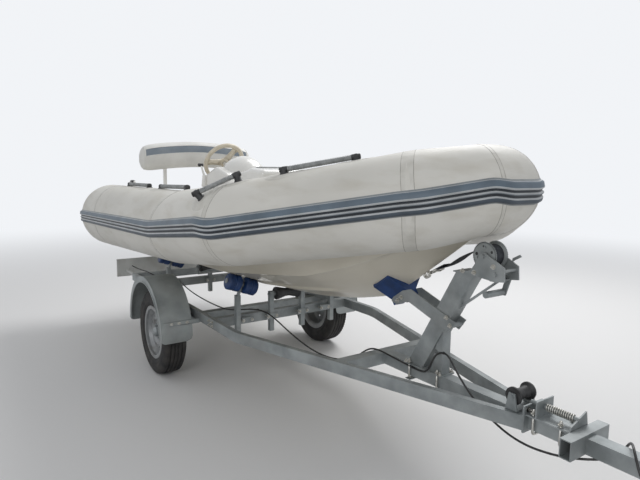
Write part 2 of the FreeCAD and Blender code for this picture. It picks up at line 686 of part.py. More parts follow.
finish("console", make_console())
finish("front_seat", make_front_seat())
finish("rear_bench", make_bench())
finish("backrest", make_backrest())
finish("steering_wheel", shaped(make_steering_wheel()))


# Rollers under the boat, each pair on one shaft through the head of its post
def bottom_line(x, y):
    """Height and slope of the hull's bottom at x and y."""
    keel, chine_y, chine_z = keel_at(x)
    slope = math.atan2(chine_z - keel, chine_y)
    return keel + y * math.tan(slope), slope


def shaft_frame(x):
    """Middle and direction of the shaft that carries the port bottom at x."""
    middle = size("bilge_y")
    height, slope = bottom_line(x, middle)
    drop = size("bilge_radius") + size("roller_clear")
    centre = V(x, middle + drop * math.sin(slope), height - drop * math.cos(slope))
    return centre, V(0, math.cos(slope), math.sin(slope))


def make_bilge_roller(x, way):
    """One grooved roller of a pair, on the outer or the inner side of the post."""
    centre, along = shaft_frame(x)
    width, radius, gap = size("bilge_width"), size("bilge_radius"), size("bilge_gap")
    bore = size("shaft_radius") + size("running_gap")
    outline = [(0, bore), (0, 30), (4, radius - 6), (10, radius), (38, radius), (42, radius - 4), (50, radius - 4),
               (54, radius), (width - 10, radius), (width - 4, radius - 6), (width, 30), (width, bore)]
    corners = [V(reach, way * (gap + across), 0) for across, reach in outline]
    roller = Part.Face(Part.makePolygon(corners + corners[:1])).revolve(V(0, 0, 0), V(0, 1, 0), 360)
    roller.Placement = FreeCAD.Placement(centre, FreeCAD.Rotation(V(0, 1, 0), along))
    return roller


def make_bilge_post(x):
    """Square post, its leaning head and the pair's shaft with end washers."""
    centre, along = shaft_frame(x)
    side, head, end = size("post_side"), size("head_length"), size("end_gap")
    reach = size("bilge_gap") + size("bilge_width") + end
    foot = centre - V(0, -along.z, along.y) * head
    low = size("post_low")
    post = Part.makeBox(side, side, foot.z + 12 - low, V(x - side / 2, foot.y - side / 2, low))
    plate_head = Part.makeBox(24, 12, head, V(x - 12, centre.y - 6, centre.z - head))
    plate_head.rotate(centre, V(1, 0, 0), math.degrees(math.atan2(along.z, along.y)))
    shaft = Part.makeCylinder(size("shaft_radius"), 2 * reach + 10, centre - along * (reach + 5), along)
    washers = [Part.makeCylinder(16, 5, centre + along * (way * reach), along * way) for way in (1, -1)]
    eye = Part.makeCylinder(19, 18, centre - along * 9, along)
    return fused([post, plate_head, shaft, eye] + washers)


def keel_roller_z(x):
    return keel_at(x)[0] - size("keel_waist") - size("roller_clear")


def make_keel_posts(x, single):
    """Pin of the keel roller between two square posts, or in a yoke on a single post."""
    side, low, z = size("post_side"), size("post_low"), keel_roller_z(x)
    inner = size("keel_post_y") - side / 2
    collar = size("keel_width") / 2 + size("end_gap")
    pin = Part.makeCylinder(size("keel_shaft_radius"), 2 * inner + 2 * side + 16, V(x, -inner - side - 8, z), V(0, 1, 0))
    parts = [pin]
    for way in (1, -1):
        parts.append(Part.makeCylinder(14, inner - collar + 1, V(x, way * collar, z), V(0, way, 0)))
        start = low if not single else z - 62
        depth = side if not single else 8
        near = inner if way > 0 else -inner - depth
        parts.append(Part.makeBox(side, depth, z + 18 - start, V(x - side / 2, near, start)))
    if single:
        parts[0] = Part.makeCylinder(size("keel_shaft_radius"), 2 * inner + 32, V(x, -inner - 16, z), V(0, 1, 0))
        parts.append(Part.makeBox(side, 2 * inner, 8, V(x - side / 2, -inner, z - 62)))
        parts.append(Part.makeBox(side, side, z - 58 - low, V(x - side / 2, -side / 2, low)))
    return fused(parts)


def make_keel_roller(x):
    """Black roller with a waist for the keel."""
    half, low, high = size("keel_width") / 2, size("keel_waist"), size("keel_radius")
    bore = size("keel_shaft_radius") + size("running_gap")
    outline = [(-half, bore), (-half, high - 4), (4 - half, high), (14 - half, high), (-14, low), (14, low),
               (half - 14, high), (half - 4, high), (half, high - 4), (half, bore)]
    corners = [V(radius, across, 0) for across, radius in outline]
    roller = Part.Face(Part.makePolygon(corners + corners[:1])).revolve(V(0, 0, 0), V(0, 1, 0), 360)
    roller.translate(V(x, 0, keel_roller_z(x)))
    return roller


# Columns: name, value that places the beam, whether the keel roller stands on a single post
for name, alias, single in (("main", "main_beam_x", False), ("rear", "rear_beam_x", True)):
    face_x = size(alias) + size("beam_width") / 2 + size("post_side") / 2
    post = make_bilge_post(face_x)
    finish("roller_posts_" + name,
           grouped([shaped(post), shaped(starboard(post)), shaped(make_keel_posts(face_x, single))]))
    for place, way in (("outer", 1), ("inner", -1)):
        roller = make_bilge_roller(face_x, way)
        finish("roller_%s_starboard_%s" % (name, place), shaped(starboard(roller)))
        finish("roller_%s_port_%s" % (name, place), shaped(roller))
    finish("keel_roller_" + name, shaped(make_keel_roller(face_x)))


# Winch post, bow arm and chock
def make_winch_post():
    """Leaning box post with its cap, brace and base plate."""
    post = plate("xz", [("foot_x", "drawbar_top"), ("foot_x + post_depth", "drawbar_top"),
                        ("top_x + post_depth", "post_top_z"), ("top_x", "post_top_z")], "0 - post_half", "post_half")
    brace = plate("xz", [("foot_x + 150", "drawbar_top"), ("foot_x + 215", "drawbar_top"), ("foot_x + 215", 690),
                         ("foot_x + 205", 700), ("foot_x + 190", 690)], "0 - post_half + 6", "post_half - 6")
    window = rod(11, "foot_x + 178", "0 - post_half - 2", "drawbar_top + 105", "y", "2 * post_half + 4")
    base = block("foot_x - 12", "0 - post_half - 13", "drawbar_top", 240, "2 * post_half + 26", "plate")
    cap = block("top_x - 12", "0 - post_half - 6", "post_top_z", "post_depth + 24", "2 * post_half + 12", 5)
    return joined([post, without(brace, [window]), base, cap])


def make_bow_chock():
    """Dark blue rubber vee that the stem rests in."""
    half, rise, core = size("chock_half"), size("chock_rise"), size("chock_core")
    profile = [(-half, rise), (0, 0), (half, rise), (half + 4, rise - 20), (core, -28), (core, -58),
               (-core, -58), (-core, -28), (-half - 4, rise - 20)]
    corners = [V(-62, across, up) for across, up in profile]
    block_shape = Part.Face(Part.makePolygon(corners + corners[:1])).extrude(V(124, 0, 0))
    x = CHOCK_X
    pitch = math.degrees(math.atan(stem_slope(x)))
    block_shape.Placement = FreeCAD.Placement(V(x, 0, keel_at(x)[0] + 4), FreeCAD.Rotation(V(0, 1, 0), -pitch))
    return block_shape.cut(HULL_SHAPE)


CHOCK_X = 1662
CHOCK = make_bow_chock()


def make_bow_arm():
    """Two flat bars beside the post that reach back to the chock, with a spacer at their front."""
    outline = [(2005, 700), (2042, 752), (1760, 846), (1655, 812), (1632, 762), (1668, 752), (1748, 784)]
    corners = [V(x, 0, z) for x, z in outline]
    face = Part.Face(Part.makePolygon(corners + corners[:1]))
    bars = []
    for low in (size("post_half"), -size("post_half") - size("plate")):
        bar = face.extrude(V(0, size("plate"), 0))
        bar.translate(V(0, low, 0))
        bars.append(bar)
    spacer = Part.makeCylinder(12, 2 * size("post_half"), V(2014, -size("post_half"), 730), V(0, 1, 0))
    return fused(bars + [spacer]).cut(CHOCK).cut(HULL_SHAPE)


# Winch
def post_front(z):
    """Expression of the place of the post's leaning front face at a height."""
    return "foot_x + post_depth + (top_x - foot_x) * (%s - drawbar_top) / (post_top_z - drawbar_top)" % z


def make_winch_frame():
    """Two side plates, floor, strut down to the post, ratchet pawl and the bar across the front."""
    half, thick = "frame_half", "plate"
    outline = [("top_x + 8", "post_top_z + 5"), ("top_x + 90", "post_top_z + 5"), ("winch_x + 62", "post_top_z - 6"),
               ("winch_x + 110", "winch_z - 90"), ("winch_x + 106", "winch_z - 34"), ("winch_x + 8", "winch_z + 16"),
               ("winch_x - 14", "winch_z + 12"), ("winch_x - 34", "winch_z - 30"), ("winch_x - 60", "post_top_z + 22")]
    plates = [plate("xz", outline, half + " - " + thick, half),
              plate("xz", outline, "0 - " + half, "plate - frame_half")]
    floor = block("top_x + 8", "0 - frame_half", "post_top_z + 5", 130, "2 * frame_half", "plate")
    tie = rod(7, "winch_x + 92", "0 - frame_half", "winch_z - 50", "y", "2 * frame_half")
    axle_bore = rod("shaft_radius + running_gap", "winch_x", "0 - frame_half - 2", "winch_z", "y", "2 * frame_half + 4")
    pinion_bore = rod("shaft_radius + running_gap", "pinion_x", "0 - frame_half - 2", "pinion_z", "y",
                      "2 * frame_half + 4")
    strut = plate("xz", [(post_front(806), 806), (post_front(830), 830), ("winch_x + 48", "post_top_z - 3"),
                         ("winch_x + 62", "post_top_z - 3")], -4, 4)
    foot = block("winch_x + 40", "0 - frame_half", "post_top_z - 6", 30, "2 * frame_half", "plate")
    pawl = plate("xz", [("winch_x + 70", "winch_z - 22"), ("winch_x + 84", "winch_z - 12"),
                        ("winch_x + 112", "winch_z + 4"), ("winch_x + 104", "winch_z + 12"),
                        ("winch_x + 72", "winch_z - 6")], "frame_half", "frame_half + 6")
    return without(joined(plates + [floor, tie, strut, foot, pawl]), [axle_bore, pinion_bore])


def make_winch_drum():
    """Drum with its toothed flange plates, its axle and the strap wound on it."""
    half, flange, wound = "winch_half", "flange_radius", "strap_radius"
    outline = [("0 - frame_half - 8", "shaft_radius"), ("0 - frame_half - 8", 0), ("frame_half + 8", 0),
               ("frame_half + 8", "shaft_radius"), (half, "shaft_radius"), (half, flange), (half + " - 4", flange),
               (half + " - 8", wound), ("8 - " + half, wound), ("4 - " + half, flange), ("0 - " + half, flange),
               ("0 - " + half, "shaft_radius")]
    drum = spun(outline, "winch_x", 0, "winch_z")
    holes = [rod(7, "winch_x - 30", "0 - winch_half - 1", "winch_z - 8", "y", 5),
             rod(6, "winch_x + 6", "0 - winch_half - 1", "winch_z + 38", "y", 5)]
    return without(drum, holes)


def make_winch_crank():
    """Pinion shaft, crank arm on the port side and the grip that points in under the frame."""
    shaft = rod("shaft_radius", "pinion_x", "0 - frame_half - 8", "pinion_z", "y", "2 * frame_half + 26")
    arm = plate("xz", [("pinion_x - 14", "pinion_z + 14"), ("pinion_x + 14", "pinion_z + 14"),
                       ("pinion_x - 24", "pinion_z - 104"), ("pinion_x - 48", "pinion_z - 104")],
                "frame_half + 10", "frame_half + 17")
    grip = rod(14, "pinion_x - 36", "0 - frame_half - 6", "pinion_z - 90", "y", "2 * frame_half + 18")
    return joined([shaft, arm, grip])


def make_winch_strap():
    """Tight webbing from the drum to the hook at the bow eye."""
    eye = BOW_EYE + V(58, 0, 26)
    centre = V(size("winch_x"), 0, size("winch_z"))
    reach = (centre - eye).Length
    lean = math.atan2(centre.z - eye.z, centre.x - eye.x)
    rise = lean + math.asin((size("strap_radius") - 1) / reach)
    span = math.sqrt(reach ** 2 - (size("strap_radius") - 1) ** 2)
    half, thick = size("strap_width") / 2, 3
    belt = Part.makeBox(span, 2 * half, thick, V(0, -half, 0))
    belt.Placement = FreeCAD.Placement(eye, FreeCAD.Rotation(V(0, 1, 0), -math.degrees(rise)))
    wound = Part.makeCylinder(size("strap_radius"), 4 * half, centre - V(0, 2 * half, 0), V(0, 1, 0))
    buckle = Part.makeBox(46, 2 * half + 6, 12, V(-8, -half - 3, -4))
    buckle.Placement = belt.Placement
    pull = (eye - BOW_EYE).normalize()
    ring = Part.makeTorus(EYE_REACH, 4, BOW_EYE + pull * EYE_REACH, pull.cross(V(0, 1, 0)))
    shank = Part.makeCylinder(6, (eye - BOW_EYE).Length - 2 * EYE_REACH, BOW_EYE + pull * (2 * EYE_REACH), pull)
    return fused([belt.cut(wound), buckle, shank, ring])


finish("winch_post", make_winch_post())
finish("bow_chock", shaped(CHOCK))
finish("bow_arm", shaped(make_bow_arm()))
finish("winch_frame", make_winch_frame())
finish("winch_drum", make_winch_drum())
finish("winch_crank", make_winch_crank())
finish("winch_strap", shaped(make_winch_strap()))


# Drawbar roller
def make_roller_bracket():
    """Folded bracket with two ears and the roller's pin."""
    x, z = "drawbar_roller_x", "drawbar_roller_z"
    outline = [(x + " - 28", "drawbar_top"), (x + " + 28", "drawbar_top"), (x + " + 14", z + " + 14"),
               (x + " - 14", z + " + 14")]
    ears = [plate("xz", outline, "spool_half + 4", "spool_half + 10"),
            plate("xz", outline, "0 - spool_half - 10", "0 - spool_half - 4")]
    floor = block(x + " - 28", "0 - spool_half - 10", "drawbar_top", 56, "2 * spool_half + 20", 5)
    pin = rod("keel_shaft_radius", x, "0 - spool_half - 14", z, "y", "2 * spool_half + 28")
    return joined(ears + [floor, pin])


def make_drawbar_roller():
    """Black spool roller."""
    outline = [("0 - spool_half", "keel_shaft_radius + running_gap"), ("0 - spool_half", "spool_radius"),
               ("8 - spool_half", "spool_radius"), ("18 - spool_half", "spool_waist + 3"), (0, "spool_waist"),
               ("spool_half - 18", "spool_waist + 3"), ("spool_half - 8", "spool_radius"),
               ("spool_half", "spool_radius"), ("spool_half", "keel_shaft_radius + running_gap")]
    return spun(outline, "drawbar_roller_x", 0, "drawbar_roller_z")


finish("roller_bracket", make_roller_bracket())
finish("drawbar_roller", make_drawbar_roller())


# Coupling and jockey wheel
def make_coupling():
    """Pressed coupling head over the end of the drawbar, with the socket for the tow ball."""
    top, low = "drawbar_top", "drawbar_top - 38"
    neck = plate("xy", [("drawbar_front_x", "0 - drawbar_side / 2"), ("ball_x", -26), ("ball_x", 26),
                        ("drawbar_front_x", "drawbar_side / 2")], low, top)
    dome = rod(40, "ball_x", 0, low + " - 16", "z", 54)
    handle = plate("xz", [("ball_x - 120", top), ("ball_x - 20", top), ("ball_x - 30", top + " + 26"),
                          ("ball_x - 130", top + " + 42"), ("ball_x - 140", top + " + 32")], -9, 9)
    ball = bind(doc.addObject("Part::Sphere", "ball"), {
        "Placement.Base.x": "ball_x", "Placement.Base.z": low + " - 2", "Radius": "ball_radius + ball_clear"})
    throat = rod("ball_radius + ball_clear", "ball_x", 0, low + " - 30", "z", 28)
    return without(joined([neck, dome, handle]), [ball, throat])


def make_jockey_clamp():
    """Bracket on the drawbar with the split sleeve and the clamp's handle."""
    arm = block("jockey_x - 30", "drawbar_side / 2", "drawbar_top - 50", 60, "jockey_y - drawbar_side / 2 - 20", 40)
    sleeve = rod("jockey_sleeve", "jockey_x", "jockey_y", "drawbar_top - 70", "z", 80)
    screw = rod(6, "jockey_x", "jockey_y + jockey_sleeve - 2", "drawbar_top - 30", "y", 40)
    tee = rod(5, "jockey_x - 40", "jockey_y + jockey_sleeve + 34", "drawbar_top - 30", "x", 80)
    bore = rod("jockey_outer", "jockey_x", "jockey_y", "drawbar_top - 90", "z", 120)
    return without(joined([arm, sleeve, screw, tee]), [bore])


def make_jockey_tube():
    """Outer tube with its crank on top."""
    outer = without(rod("jockey_outer", "jockey_x", "jockey_y", 330, "z", 470),
                    [rod("jockey_inner", "jockey_x", "jockey_y", 320, "z", 470)])
    spindle = rod(8, "jockey_x", "jockey_y", 799, "z", 24)
    crank = block("jockey_x - 120", "jockey_y - 8", 815, 128, 16, 8)
    knob = rod(11, "jockey_x - 110", "jockey_y", 822, "z", 60)
    return joined([outer, spindle, crank, knob])


def make_jockey_leg():
    return rod("jockey_inner - running_gap", "jockey_x", "jockey_y", 232, "z", 470)


def make_jockey_fork():
    """Fork behind the leg's line with the wheel's pin."""
    crown = block("jockey_x - jockey_trail - 16", "jockey_y - 40", 214, "jockey_trail + 40", 80, 8)
    outline = [("jockey_x - jockey_trail - 16", 214), ("jockey_x + 20", 214),
               ("jockey_x - jockey_trail + 16", "jockey_radius - 14"),
               ("jockey_x - jockey_trail - 16", "jockey_radius - 14")]
    cheeks = [plate("xz", outline, "jockey_y - 40", "jockey_y - 35"),
              plate("xz", outline, "jockey_y + 35", "jockey_y + 40")]
    pin = rod(8, "jockey_x - jockey_trail", "jockey_y - 42", "jockey_radius", "y", 84)
    collar = rod(19, "jockey_x", "jockey_y", 214, "z", 17.5)
    return joined([crown, collar, pin] + cheeks)


def make_jockey_wheel():
    outline = [(-28, "8 + running_gap"), (-28, 30), (-20, 60), (-24, "jockey_radius - 16"), (-14, "jockey_radius"),
               (14, "jockey_radius"), (24, "jockey_radius - 16"), (20, 60), (28, 30), (28, "8 + running_gap")]
    return spun(outline, "jockey_x - jockey_trail", "jockey_y", "jockey_radius")


finish("coupling_head", make_coupling())
finish("jockey_clamp", make_jockey_clamp())
finish("jockey_tube", make_jockey_tube())
finish("jockey_leg", make_jockey_leg())
finish("jockey_fork", make_jockey_fork())
finish("jockey_wheel", make_jockey_wheel())


# Light board
def make_light_board():
    """Lamp board behind the boat on two arms from the end of the frame, with lamps and plate holes."""
    board = block("board_x", "0 - board_half", "board_low", "board_thick", "2 * board_half", "board_high - board_low")
    arms = [block("board_x + board_thick", y, "rail_top - 26", "rail_rear_x - board_x - board_thick", 24, 20)
            for y in (-512, 488)]
    lamps = [block("board_x - 34", y, "board_low + 34", 34, 190, 92) for y in ("20 - board_half", "board_half - 210")]
    holes = [rod("plate_hole_radius", "board_x - 5", y, "(board_low + board_high) / 2", "x", "board_thick + 10")
             for y in ("plate_hole_y", "0 - plate_hole_y")]
    return without(joined([board] + arms + lamps), holes)


finish("light_board", make_light_board())

# Electric cable from the light board over the beams and along the drawbar to its plug.
# Columns: x, y, z of the route's points
CABLE = [
    (-1430, -455, 500),
    (-1370, -455, 500),
    (-1300, -444, 495),
    (-1225, -428, 491),
    (-1145, -408, 488),
    (-1060, -385, 473),
    (-965, -360, 464),
    (-870, -335, 470),
    (-785, -314, 487),
    (-700, -300, 488),
    (-600, -294, 470),
    (-480, -291, 448),
    (-355, -289, 434),
    (-225, -287, 427),
    (-92, -286, 425),
    (38, -284, 426),
    (160, -279, 429),
    (270, -270, 441),
    (370, -255, 461),
    (455, -231, 483),
    (532, -200, 492),
    (605, -170, 483),
    (680, -149, 452),
    (770, -131, 412),
    (870, -116, 376),
    (985, -105, 349),
    (1105, -96, 338),
    (1220, -89, 346),
    (1325, -82, 371),
    (1415, -76, 415),
    (1470, -71, 462),
    (1520, -65, 491),
    (1580, -56, 494),
    (1645, -46, 483),
    (1725, -40, 473),
    (1790, -38.5, 470),
    (1845, -46, 470),
    (1902, -57, 484),
    (1926, -57, 522),
    (1939, -47, 571),
    (1967, -38, 595),
    (2003, -36, 596),
    (2032, -38, 574),
    (2072, -42, 532),
    (2118, -46, 493),
    (2166, -48, 456),
    (2222, -50, 420),
    (2288, -50, 390),
    (2360, -48, 366),
    (2440, -44, 357),
    (2520, -36, 363),
    (2590, -26, 376),
    (2650, 5, 388),
    (2700, 42, 402),
    (2735, 62, 440),
    (2760, 50, 487),
    (2790, 5, 512),
    (2825, -44, 492),
    (2850, -62, 448),
    (2880, -67, 414),
    (2920, -67, 392),
    (2968, -66, 385),
    (3016, -67, 396),
    (3054, -66, 428),
    (3080, -58, 470),
    (3110, -34, 503),
    (3150, -3, 497.3),
    (3203, -3, 497.3),
]


def make_cable():
    """Tube of straight runs joined by tangent arcs, each as large as its two runs allow."""
    points = [V(*row) for row in CABLE]
    edges, start, radii = [], points[0], []
    for before, corner, after in zip(points, points[1:], points[2:]):
        back, ahead = (before - corner).normalize(), (after - corner).normalize()
        half = (math.pi - back.getAngle(ahead)) / 2
        reach = 0.45 * min((before - corner).Length, (after - corner).Length)
        radius = reach / math.tan(half)
        middle = corner + (back + ahead).normalize() * (radius / math.cos(half) - radius)
        edges.append(Part.LineSegment(start, corner + back * reach).toShape())
        edges.append(Part.Arc(corner + back * reach, middle, corner + ahead * reach).toShape())
        start = corner + ahead * reach
        radii.append(radius)
    edges.append(Part.LineSegment(start, points[-1]).toShape())
    ring = Part.Wire(Part.makeCircle(size("cable_radius"), points[0], points[1] - points[0]))
    tube = Part.Wire(edges).makePipeShell([ring], True, False, 2)
    length = sum(edge.Length for edge in edges)
    print("cable radii", [round(radius) for radius in radii])
    print("cable length", round(length), "volume share", tube.Volume / (math.pi * size("cable_radius") ** 2 * length))
    return tube


def make_plug():
    """Round plug with its strain relief, lying on the drawbar."""
    radius, length = "plug_radius", "plug_length"
    outline = [(0, 0), (0, "cable_radius + 2"), (16, "cable_radius + 5"), (22, radius + " - 2"), (24, radius),
               (length + " - 16", radius), (length + " - 14", radius + " - 2"), (length, radius + " - 2"), (length, 0)]
    return spun(outline, CABLE[-1][0], CABLE[-1][1], "drawbar_top + plug_radius + end_gap", "x")


finish("light_cable", shaped(make_cable()))
finish("light_plug", make_plug())

# Check and write
doc.recompute()
for item in doc.Objects:
    if "Invalid" in item.State or "Error" in item.State:
        raise RuntimeError("failed: " + item.Label)
os.makedirs("parts", exist_ok=True)
for item in pieces:
    if item.Shape.isNull() or not item.Shape.isValid():
        raise RuntimeError("bad shape: " + item.Label)
    item.Shape.exportStep("parts/%s.step" % item.Label)
    print("%-28s %9.3f dm3  %d solids" % (item.Label, item.Shape.Volume / 1e6, len(item.Shape.Solids)))
box = FreeCAD.BoundBox()
for item in pieces:
    box.add(item.Shape.BoundBox)
print(len(pieces), "pieces, box", box)
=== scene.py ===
# %% [markdown]
# A rigid inflatable boat on its galvanised trailer. The solids are the frame: every piece that follows
# sits where they are, in metres. The finish, the soft forms and the small fittings are made here,
# because they need meshes and materials that a solid model doesn't carry.

# %% Load the frame
import math

import bmesh
import bpy
from mathutils import Matrix, Vector, noise


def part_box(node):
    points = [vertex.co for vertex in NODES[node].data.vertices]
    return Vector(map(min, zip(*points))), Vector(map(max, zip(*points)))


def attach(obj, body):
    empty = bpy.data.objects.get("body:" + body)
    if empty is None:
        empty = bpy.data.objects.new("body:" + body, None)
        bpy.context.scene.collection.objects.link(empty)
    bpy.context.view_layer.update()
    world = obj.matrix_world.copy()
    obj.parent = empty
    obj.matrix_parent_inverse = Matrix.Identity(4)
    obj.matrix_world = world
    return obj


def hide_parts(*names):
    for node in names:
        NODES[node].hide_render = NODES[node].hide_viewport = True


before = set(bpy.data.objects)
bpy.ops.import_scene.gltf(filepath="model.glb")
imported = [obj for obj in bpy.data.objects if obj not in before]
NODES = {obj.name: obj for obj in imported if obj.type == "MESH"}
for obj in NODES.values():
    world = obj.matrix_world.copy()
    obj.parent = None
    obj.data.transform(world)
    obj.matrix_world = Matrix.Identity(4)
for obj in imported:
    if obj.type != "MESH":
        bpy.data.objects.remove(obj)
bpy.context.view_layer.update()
BOAT = "boat_and_trailer"
HUB_LOW, HUB_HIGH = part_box("hub_port")
AXLE_X = (HUB_LOW.x + HUB_HIGH.x) / 2
print("nodes", len(NODES), "axle at", round(AXLE_X, 4))


def place(x, y, z):
    """A point from millimetres ahead of the axle line, to port, and above the ground."""
    return Vector((AXLE_X + x / 1000, y / 1000, z / 1000))


# %% [markdown]
# The camera stands ahead of the starboard bow at eye height. Its place and angles are the ones from
# which the wheels, the frame and the bow line up as they do for someone standing there. A camera looks
# down its own -Z axis, so its matrix is built from three directions, which is exact and needs no target.

# %% Camera
FOCAL_PIXELS = 540.8
FRAME_PIXELS = 640
CAMERA_PLACE = place(3590.6, -1836.0, 1414.8)
CAMERA_YAW = math.radians(34.758)
CAMERA_PITCH = math.radians(7.586)
CAMERA_ROLL = math.radians(0.693)
SENSOR_WIDTH = 36

ahead = Vector((-math.cos(CAMERA_YAW) * math.cos(CAMERA_PITCH), math.sin(CAMERA_YAW) * math.cos(CAMERA_PITCH),
                -math.sin(CAMERA_PITCH)))
level = ahead.cross(Vector((0, 0, 1))).normalized()
upright = level.cross(ahead)
right = level * math.cos(CAMERA_ROLL) + upright * math.sin(CAMERA_ROLL)
above = upright * math.cos(CAMERA_ROLL) - level * math.sin(CAMERA_ROLL)
camera = bpy.data.objects.new("camera", bpy.data.cameras.new("camera"))
camera.data.sensor_width = SENSOR_WIDTH
camera.data.lens = SENSOR_WIDTH * FOCAL_PIXELS / FRAME_PIXELS
camera.data.clip_end = 200
camera.matrix_world = Matrix((right, above, -ahead)).transposed().to_4x4()
camera.location = CAMERA_PLACE
bpy.context.scene.collection.objects.link(camera)
bpy.context.scene.camera = camera
print("lens", round(camera.data.lens, 2))

# %% [markdown]
# A plain pale floor and soft lamps: one broad lamp high on the port side stands for an overcast sky, a
# weaker one fills the shaded side, and the world adds an even level. The floor fades into the backdrop
# only for the camera and for gloss, so the light on the boat doesn't change and the shadow stays.

# %% Floor and light
FLOOR_HALF = 40
floor_mesh = bpy.data.meshes.new("floor")
floor_mesh.from_pydata([(x * FLOOR_HALF, y * FLOOR_HALF, 0) for x, y in ((-1, -1), (1, -1), (1, 1), (-1, 1))], [],
                       [(0, 1, 2, 3)])
floor = bpy.data.objects.new("floor", floor_mesh)
bpy.context.scene.collection.objects.link(floor)


def add_node(tree, kind, **settings):
    """A node with its sockets and properties set by name; a socket value is linked."""
    node = tree.nodes.new(kind)
    for name, value in settings.items():
        socket = node.inputs.get(name.replace("_", " "))
        if socket is None:
            setattr(node, name, value)
        elif isinstance(value, bpy.types.NodeSocket):
            tree.links.new(value, socket)
        else:
            socket.default_value = value
    return node


def base_material(name, color, roughness, metallic=0.0, coat=0.0):
    """A material with its shader's own values set."""
    made = bpy.data.materials.new(name)
    made.use_nodes = True
    shader = made.node_tree.nodes["Principled BSDF"]
    shader.inputs["Base Color"].default_value = (*color, 1)
    shader.inputs["Roughness"].default_value = roughness
    shader.inputs["Metallic"].default_value = metallic
    shader.inputs["Coat Weight"].default_value = coat
    made.diffuse_color = (*color, 1)
    return made


def object_place(tree, stretch=(1, 1, 1)):
    """Object coordinates through a Mapping node."""
    coords = add_node(tree, "ShaderNodeTexCoord")
    mapped = add_node(tree, "ShaderNodeMapping", Vector=coords.outputs["Object"])
    mapped.inputs["Scale"].default_value = stretch
    return mapped.outputs["Vector"]


def mottled(made, dark, light, scale, detail=4.0, low=0.35, high=0.65, stretch=(1, 1, 1)):
    """Colour that drifts between two tones with a noise of a given scale."""
    tree = made.node_tree
    clouds = add_node(tree, "ShaderNodeTexNoise", Vector=object_place(tree, stretch), Scale=scale, Detail=detail)
    ramp = add_node(tree, "ShaderNodeValToRGB")
    tree.links.new(clouds.outputs["Fac"], ramp.inputs["Fac"])
    ramp.color_ramp.elements[0].position = low
    ramp.color_ramp.elements[1].position = high
    ramp.color_ramp.elements[0].color = (*dark, 1)
    ramp.color_ramp.elements[1].color = (*light, 1)
    tree.links.new(ramp.outputs["Color"], tree.nodes["Principled BSDF"].inputs["Base Color"])
    return ramp


def rough_skin(made, scale, depth, kind="ShaderNodeTexNoise", stretch=(1, 1, 1)):
    """Bump from a fine pattern, its depth in metres."""
    tree = made.node_tree
    pattern = add_node(tree, kind, Vector=object_place(tree, stretch), Scale=scale)
    bump = add_node(tree, "ShaderNodeBump", Height=pattern.outputs[0], Distance=depth, Strength=1.0)
    tree.links.new(bump.outputs["Normal"], tree.nodes["Principled BSDF"].inputs["Normal"])


def soiled(made, ramp, soil, scale, amount, stretch=(1, 1, 1)):
    """Mixes a thin second tone over the first, in patches."""
    tree = made.node_tree
    clouds = add_node(tree, "ShaderNodeTexNoise", Vector=object_place(tree, stretch), Scale=scale, Detail=8.0)
    share = add_node(tree, "ShaderNodeMapRange", Value=clouds.outputs["Fac"])
    share.inputs["From Min"].default_value = 0.5
    share.inputs["From Max"].default_value = 0.75
    share.inputs["To Max"].default_value = amount
    mix = add_node(tree, "ShaderNodeMix", data_type="RGBA")
    tree.links.new(share.outputs["Result"], mix.inputs["Factor"])
    tree.links.new(ramp.outputs["Color"], mix.inputs["A"])
    mix.inputs["B"].default_value = (*soil, 1)
    tree.links.new(mix.outputs["Result"], tree.nodes["Principled BSDF"].inputs["Base Color"])


BACKDROP_COLOR = (0.95, 0.97, 1.0, 1)
BACKDROP_STRENGTH = 0.93
WORLD_LEVEL = 0.55
# Metres from the middle of the floor between which it fades
FADE_START, FADE_END = 3.6, 11.0
LAMP_TARGET = Vector((0, 0, 0.7))


def seen_directly(tree):
    """1 for the camera and for what gloss and glass show, 0 for the light that falls on the object."""
    paths = add_node(tree, "ShaderNodeLightPath")
    total = paths.outputs["Is Camera Ray"]
    for ray in ("Is Glossy Ray", "Is Transmission Ray"):
        larger = add_node(tree, "ShaderNodeMath", operation="MAXIMUM")
        tree.links.new(total, larger.inputs[0])
        tree.links.new(paths.outputs[ray], larger.inputs[1])
        total = larger.outputs[0]
    return total


def fade_away(made, near, far):
    """Lets the floor turn into the backdrop between two distances from its middle."""
    tree = made.node_tree
    coords = add_node(tree, "ShaderNodeTexCoord")
    reach = add_node(tree, "ShaderNodeVectorMath", operation="LENGTH")
    tree.links.new(coords.outputs["Object"], reach.inputs[0])
    share = add_node(tree, "ShaderNodeMapRange", Value=reach.outputs["Value"], interpolation_type="SMOOTHSTEP")
    share.inputs["From Min"].default_value = near
    share.inputs["From Max"].default_value = far
    both = add_node(tree, "ShaderNodeMath", operation="MULTIPLY")
    tree.links.new(share.outputs["Result"], both.inputs[0])
    tree.links.new(seen_directly(tree), both.inputs[1])
    glow = add_node(tree, "ShaderNodeEmission", Color=BACKDROP_COLOR, Strength=BACKDROP_STRENGTH)
    mix = add_node(tree, "ShaderNodeMixShader")
    tree.links.new(both.outputs[0], mix.inputs[0])
    tree.links.new(tree.nodes["Principled BSDF"].outputs[0], mix.inputs[1])
    tree.links.new(glow.outputs[0], mix.inputs[2])
    tree.links.new(mix.outputs[0], tree.nodes["Material Output"].inputs["Surface"])


FLOOR_PAINT = base_material("floor_paint", (0.74, 0.735, 0.73), 0.9)
fade_away(FLOOR_PAINT, FADE_START, FADE_END)
floor.data.materials.append(FLOOR_PAINT)

